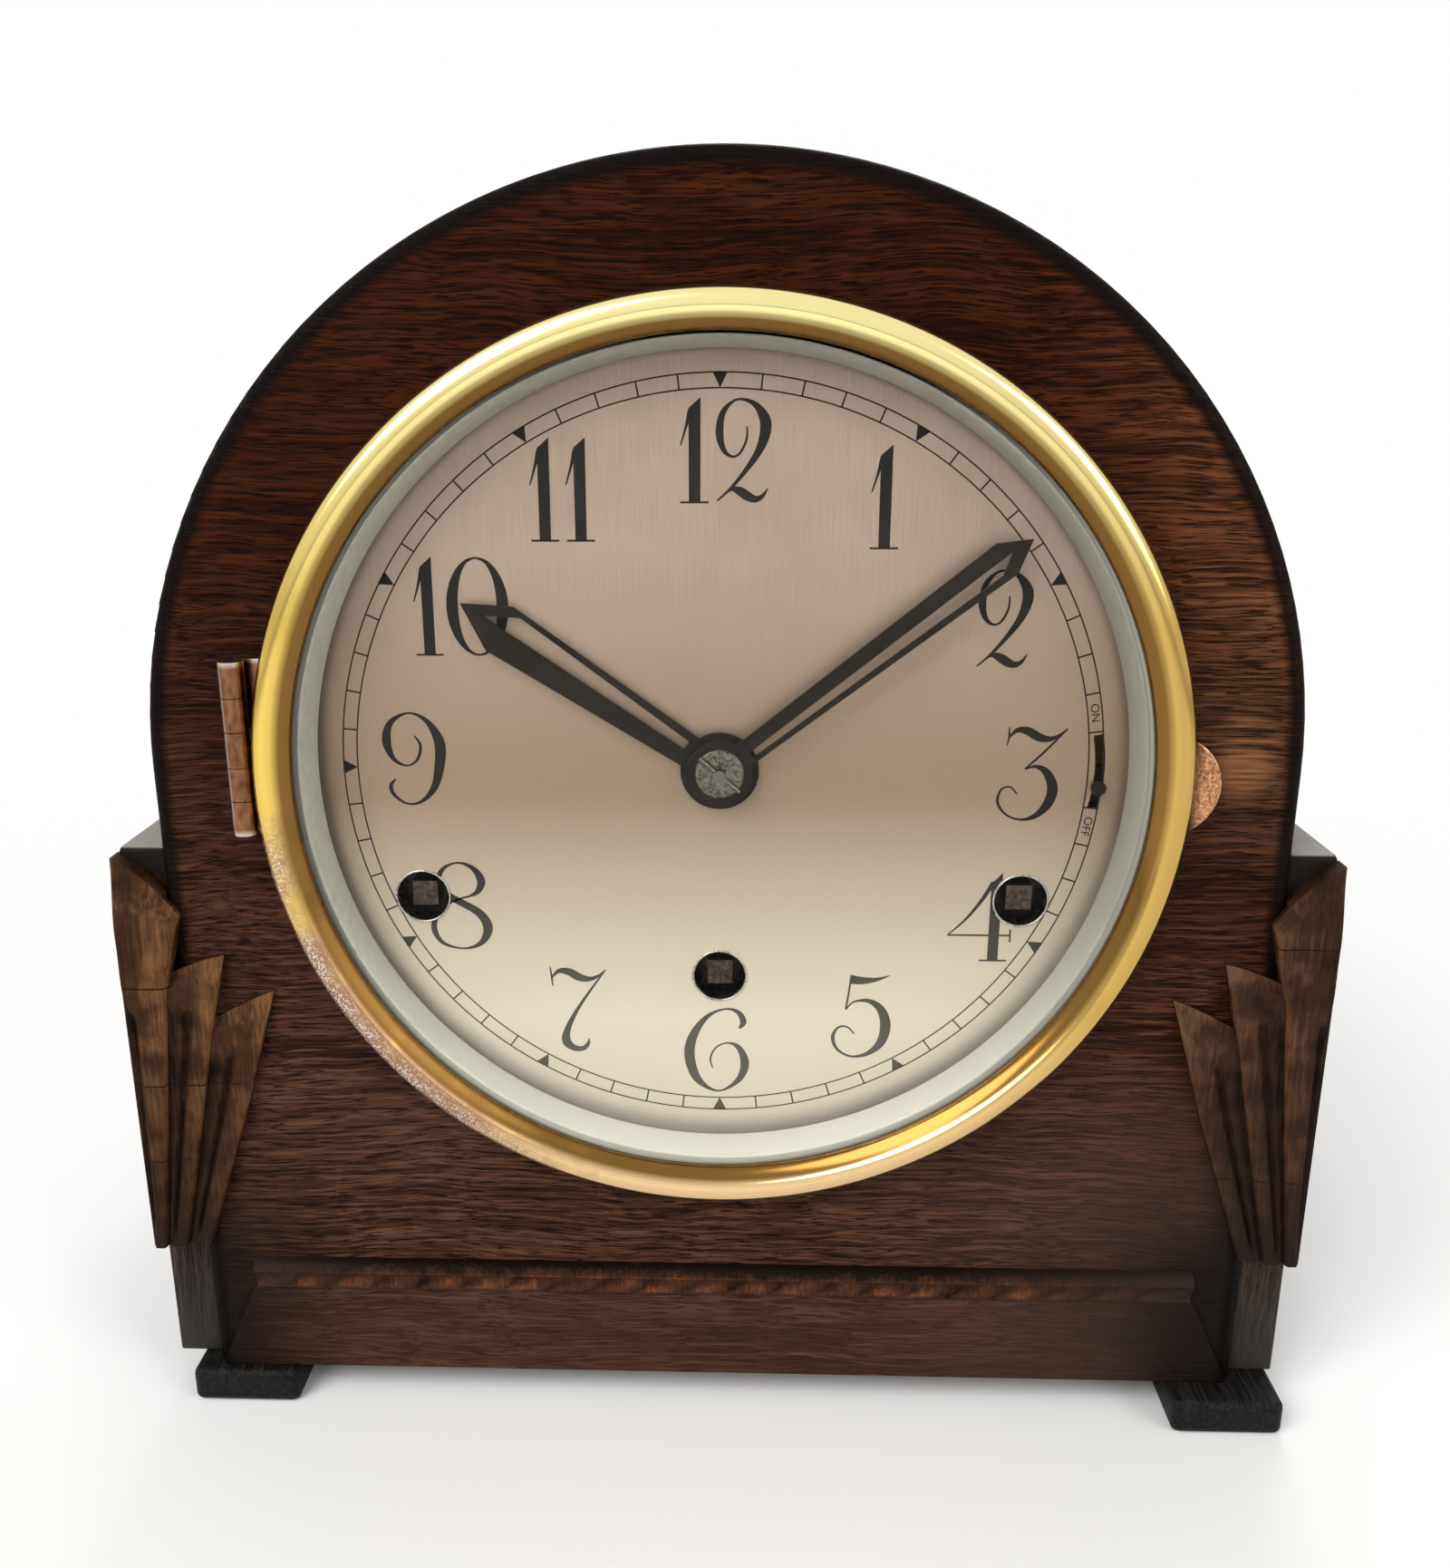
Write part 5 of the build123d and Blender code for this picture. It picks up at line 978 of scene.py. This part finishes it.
# in mm: the print stops here, under the rims of the winding holes, and each stroke lies just over the last one
hole_print, stroke_gap = 5.45, 0.004
points, faces, across = [], [], 4
for number, (middle_x, middle_z) in numeral_places.items():
    strokes = list(digits[number[0]])
    if len(number) == 2:
        along = Vector((second_digit[number], 0))
        strokes += [[(a + along, b + along) for a, b in stroke] for stroke in digits[number[1]]]
    corners = [c for stroke in strokes for pair in stroke for c in pair]
    shift = [(min(c[k] for c in corners) + max(c[k] for c in corners)) / 2 for k in (0, 1)]
    for layer, stroke in enumerate(strokes):
        start, depth = len(points), dial_front - print_gap - stroke_gap * layer
        for left, right_edge in stroke:
            for k in range(across + 1):
                spot = (left.lerp(right_edge, k / across) - Vector(shift)) * numeral_height / 100
                points.append(on_dial(middle_x + spot.x, depth, middle_z + spot.y))
        for face in grid_faces(start, len(stroke) - 1, across):
            centre = sum((points[n] for n in face), Vector()) / 4
            spot = Vector((centre.x / MM, (centre.z - dial_z) / MM))
            if min((spot - Vector(hole)).length for hole in winding_places) > hole_print:
                faces.append(face)
numerals = make_piece("numerals_print", points, faces, ink, smooth=False)
face_reader(numerals.data)
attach(numerals, "case")
print("numerals", len(numerals.data.polygons), "faces")

# %% [markdown]
# ## ON and OFF beside the chime lever
# Two cells of the track, above and below the slot, say what the lever does there. Text is made as a text
# object, turned into a mesh, and only then put in its place, so that the piece itself stays at the origin.

# %% Two plain words
middle, word_size = (track_inner + track_outer) / 2, 2.3 * MM
for word, angle in (("ON", radians(9.0)), ("OFF", radians(-9.0))):
    letters = bpy.data.curves.new(word, "FONT")
    letters.body, letters.size = word, word_size
    letters.align_x, letters.align_y = "CENTER", "CENTER"
    mesh = baked(linked(word, letters))
    downwards, outwards = Vector((sin(angle), 0, -cos(angle))), Vector((cos(angle), 0, sin(angle)))
    turn = Matrix((downwards, outwards, Vector((0, -1, 0)))).transposed().to_4x4()
    at = on_dial(middle * cos(angle), dial_front - print_gap, middle * sin(angle))
    mesh.transform(Matrix.Translation(at) @ turn)
    mesh.materials.clear()
    mesh.materials.append(ink)
    face_reader(mesh)
    words = linked("lever_word_" + word.lower(), mesh)
    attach(words, "case")
    print(word, len(mesh.polygons), "faces")

# %% [markdown]
# ## Worn edges
# Eighty years of dusting have rounded the corners of the wood. A copy of each solid gets its sharp edges
# bevelled, wider on the feet, which knock against things, than on the pillars and the rail.

# %% Round the edges of the wood
def softened(name, width):
    """A copy of a solid whose sharp edges are rounded to a width in mm, in the solid's place."""
    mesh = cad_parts[name].data.copy()
    mesh.transform(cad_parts[name].matrix_world)
    with edited(mesh) as work:
        bmesh.ops.remove_doubles(work, verts=work.verts, dist=1e-6)
        bmesh.ops.dissolve_limit(work, angle_limit=radians(1), verts=work.verts, edges=work.edges)
        sharp = [e for e in work.edges if len(e.link_faces) == 2 and e.calc_face_angle(0.0) > radians(30)]
        bmesh.ops.bevel(work, geom=sharp, offset=width * MM, offset_type="OFFSET", segments=4, profile=0.5,
                        affect="EDGES", clamp_overlap=True)
        for face in work.faces:
            face.smooth = True
    mesh.set_sharp_from_angle(angle=radians(40))
    piece = linked(name + "_softened", mesh)
    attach(piece, "case")
    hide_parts(name)
    return piece


for name, width, slot in (("left_foot", 1.2, "ebonised"), ("right_foot", 1.2, "ebonised"),
                          ("left_pillar", 0.6, "oak"), ("right_pillar", 0.6, "oak"), ("plinth_rail", 0.5, "oak")):
    print(name, len(softened(name, width).data.polygons), "faces")

# %% [markdown]
# ## Small turned and stamped metal
# Each winding hole has a thin bright rim, pressed into the dial. The bezel is opened by a little copper tab,
# a half disc that was stamped with dots inside a raised border.

# %% Rims of the winding holes
def rim_rule(tree, given):
    """One wire ring, copied to the three points of the mesh."""
    circle = add(tree, "GeometryNodeCurvePrimitiveCircle", {"Resolution": 96, "Radius": given["Radius"]})
    wire = add(tree, "GeometryNodeCurvePrimitiveCircle", {"Resolution": 12, "Radius": given["Wire"]})
    ring = add(tree, "GeometryNodeCurveToMesh", (circle, wire))
    ring = add(tree, "GeometryNodeTransform", {0: ring, "Rotation": (pi / 2, 0, 0)})
    return add(tree, "GeometryNodeInstanceOnPoints", {"Points": given["Geometry"], "Instance": ring})


rim_gap = 0.22
places = bpy.data.meshes.new("winding_places")
places.from_pydata([on_dial(x, dial_front - rim_gap, z) for x, z in winding_places], [], [])
rims = grown("winding_hole_rims", places, rim_rule, steel, Radius=5.3 * MM, Wire=0.2 * MM)
for face in rims.data.polygons:
    face.use_smooth = True
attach(rims, "case")
print("rims", len(rims.data.polygons), "faces")

# %% [markdown]
# ## Screws of the back hinges
# Each leaf is held by two slotted brass wood screws. One head is a short cylinder with a bar cut out of its top,
# and a tree copies it to the screw places. A random turn with a fixed seed leaves every slot at its own
# angle, as a screw driven by hand would be. Each body gets a piece of its own, so the door takes its screws along.

# %% Slotted screw heads
slot_bar = (6 * MM, 0.45 * MM, 0.6 * MM)


def screw_rule(tree, given):
    """The slotted head at every point of the mesh, each with its own fixed random turn."""
    head = add(tree, "GeometryNodeMeshCylinder", {"Vertices": 40, "Radius": given["Radius"], "Depth": given["Height"]})
    bar = add(tree, "GeometryNodeMeshCube", {"Size": slot_bar})
    lift = add(tree, "CombineXYZ", {"Z": given["Height"]})
    lift = add(tree, "VectorMath", (lift, [0.5] * 3), operation="MULTIPLY")
    bar = add(tree, "GeometryNodeTransform", {0: bar, "Translation": lift})
    head = add(tree, "GeometryNodeMeshBoolean", (head, bar), operation="DIFFERENCE")
    head = add(tree, "GeometryNodeTransform", {0: head, "Rotation": (-pi / 2, 0, 0)})
    turn = add(tree, "FunctionNodeRandomValue", {0: (0, 0, 0), 1: (0, pi, 0), "Seed": given["Seed"]},
               data_type="FLOAT_VECTOR")
    return add(tree, "GeometryNodeInstanceOnPoints", {"Points": given["Geometry"], "Instance": head, "Rotation": turn})


leaf_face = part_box("back_frame")[1].y + 1.0 * MM
half_leaf, screw_gap, from_edge, head_gap = 12 * MM, 7 * MM, 4.4 * MM, 0.1 * MM
for name, node, body, seed in (("case_hinge_screws", "back_hinge_fixed_leaves", "case", 4),
                               ("door_hinge_screws", "back_hinge_door_leaves", "back_door", 9)):
    low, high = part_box(node)
    x = low.x + from_edge if body == "case" else high.x - from_edge
    middles = (low.z + half_leaf, high.z - half_leaf)
    places = bpy.data.meshes.new(name + "_places")
    heads = [(x, leaf_face + head_gap, z + gap) for z in middles for gap in (-screw_gap, screw_gap)]
    places.from_pydata(heads, [], [])
    screws = grown(name, places, screw_rule, hinge_brass, Radius=1.7 * MM, Height=0.8 * MM, Seed=seed)
    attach(screws, body)
    print(name, len(screws.data.polygons), "faces")

# %% Stamped thumb tab
tab_low, tab_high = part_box("thumb_tab")
# as in the photograph, it sits a little farther out and lower than the solid one
tab_out, tab_down, stamp_deep, dot_size = 1.2 * MM, 0.9 * MM, 0.22, 0.55 * MM
tab_radius, tab_x, tab_z = (tab_high.z - tab_low.z) / 2, tab_low.x + tab_out, dial_z - tab_down
tab_front, tab_back = tab_low.y, tab_high.y
rings, spokes = 40, 96
points, faces = [], []
# a front and a back layer of points, in half rings from the middle outwards
for layer in (0, 1):
    for i in range(rings + 1):
        for k in range(spokes + 1):
            r, angle = tab_radius * i / rings, pi * k / spokes - pi / 2
            spot = Vector((tab_x + r * cos(angle), 0, tab_z + r * sin(angle)))
            border = eased((r / tab_radius - 0.9) / 0.03) * eased((1.0 - r / tab_radius) / 0.02 + 0.3)
            dots = max(noise.noise(spot / dot_size), 0.0)
            spot.y = tab_back if layer else tab_front + (stamp_deep - stamp_deep * max(border, 0.8 * dots)) * MM
            points.append(spot)
size = spokes + 1
back = (rings + 1) * size
faces += grid_faces(0, rings, spokes) + [face[::-1] for face in grid_faces(back, rings, spokes)]
edge = [rings * size + k for k in range(size)]
edge = [i * size for i in range(rings)] + edge + [i * size + spokes for i in range(rings - 1, -1, -1)]
for here, there in zip(edge, edge[1:]):
    faces.append((here, there, back + there, back + here))
tab = make_piece("thumb_tab_stamped", points, faces, tab_copper)
tab.data.set_sharp_from_angle(angle=radians(50))
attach(tab, "bezel")
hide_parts("thumb_tab")
print("tab", len(tab.data.polygons), "faces")

# %% The lines that close the lesson
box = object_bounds()
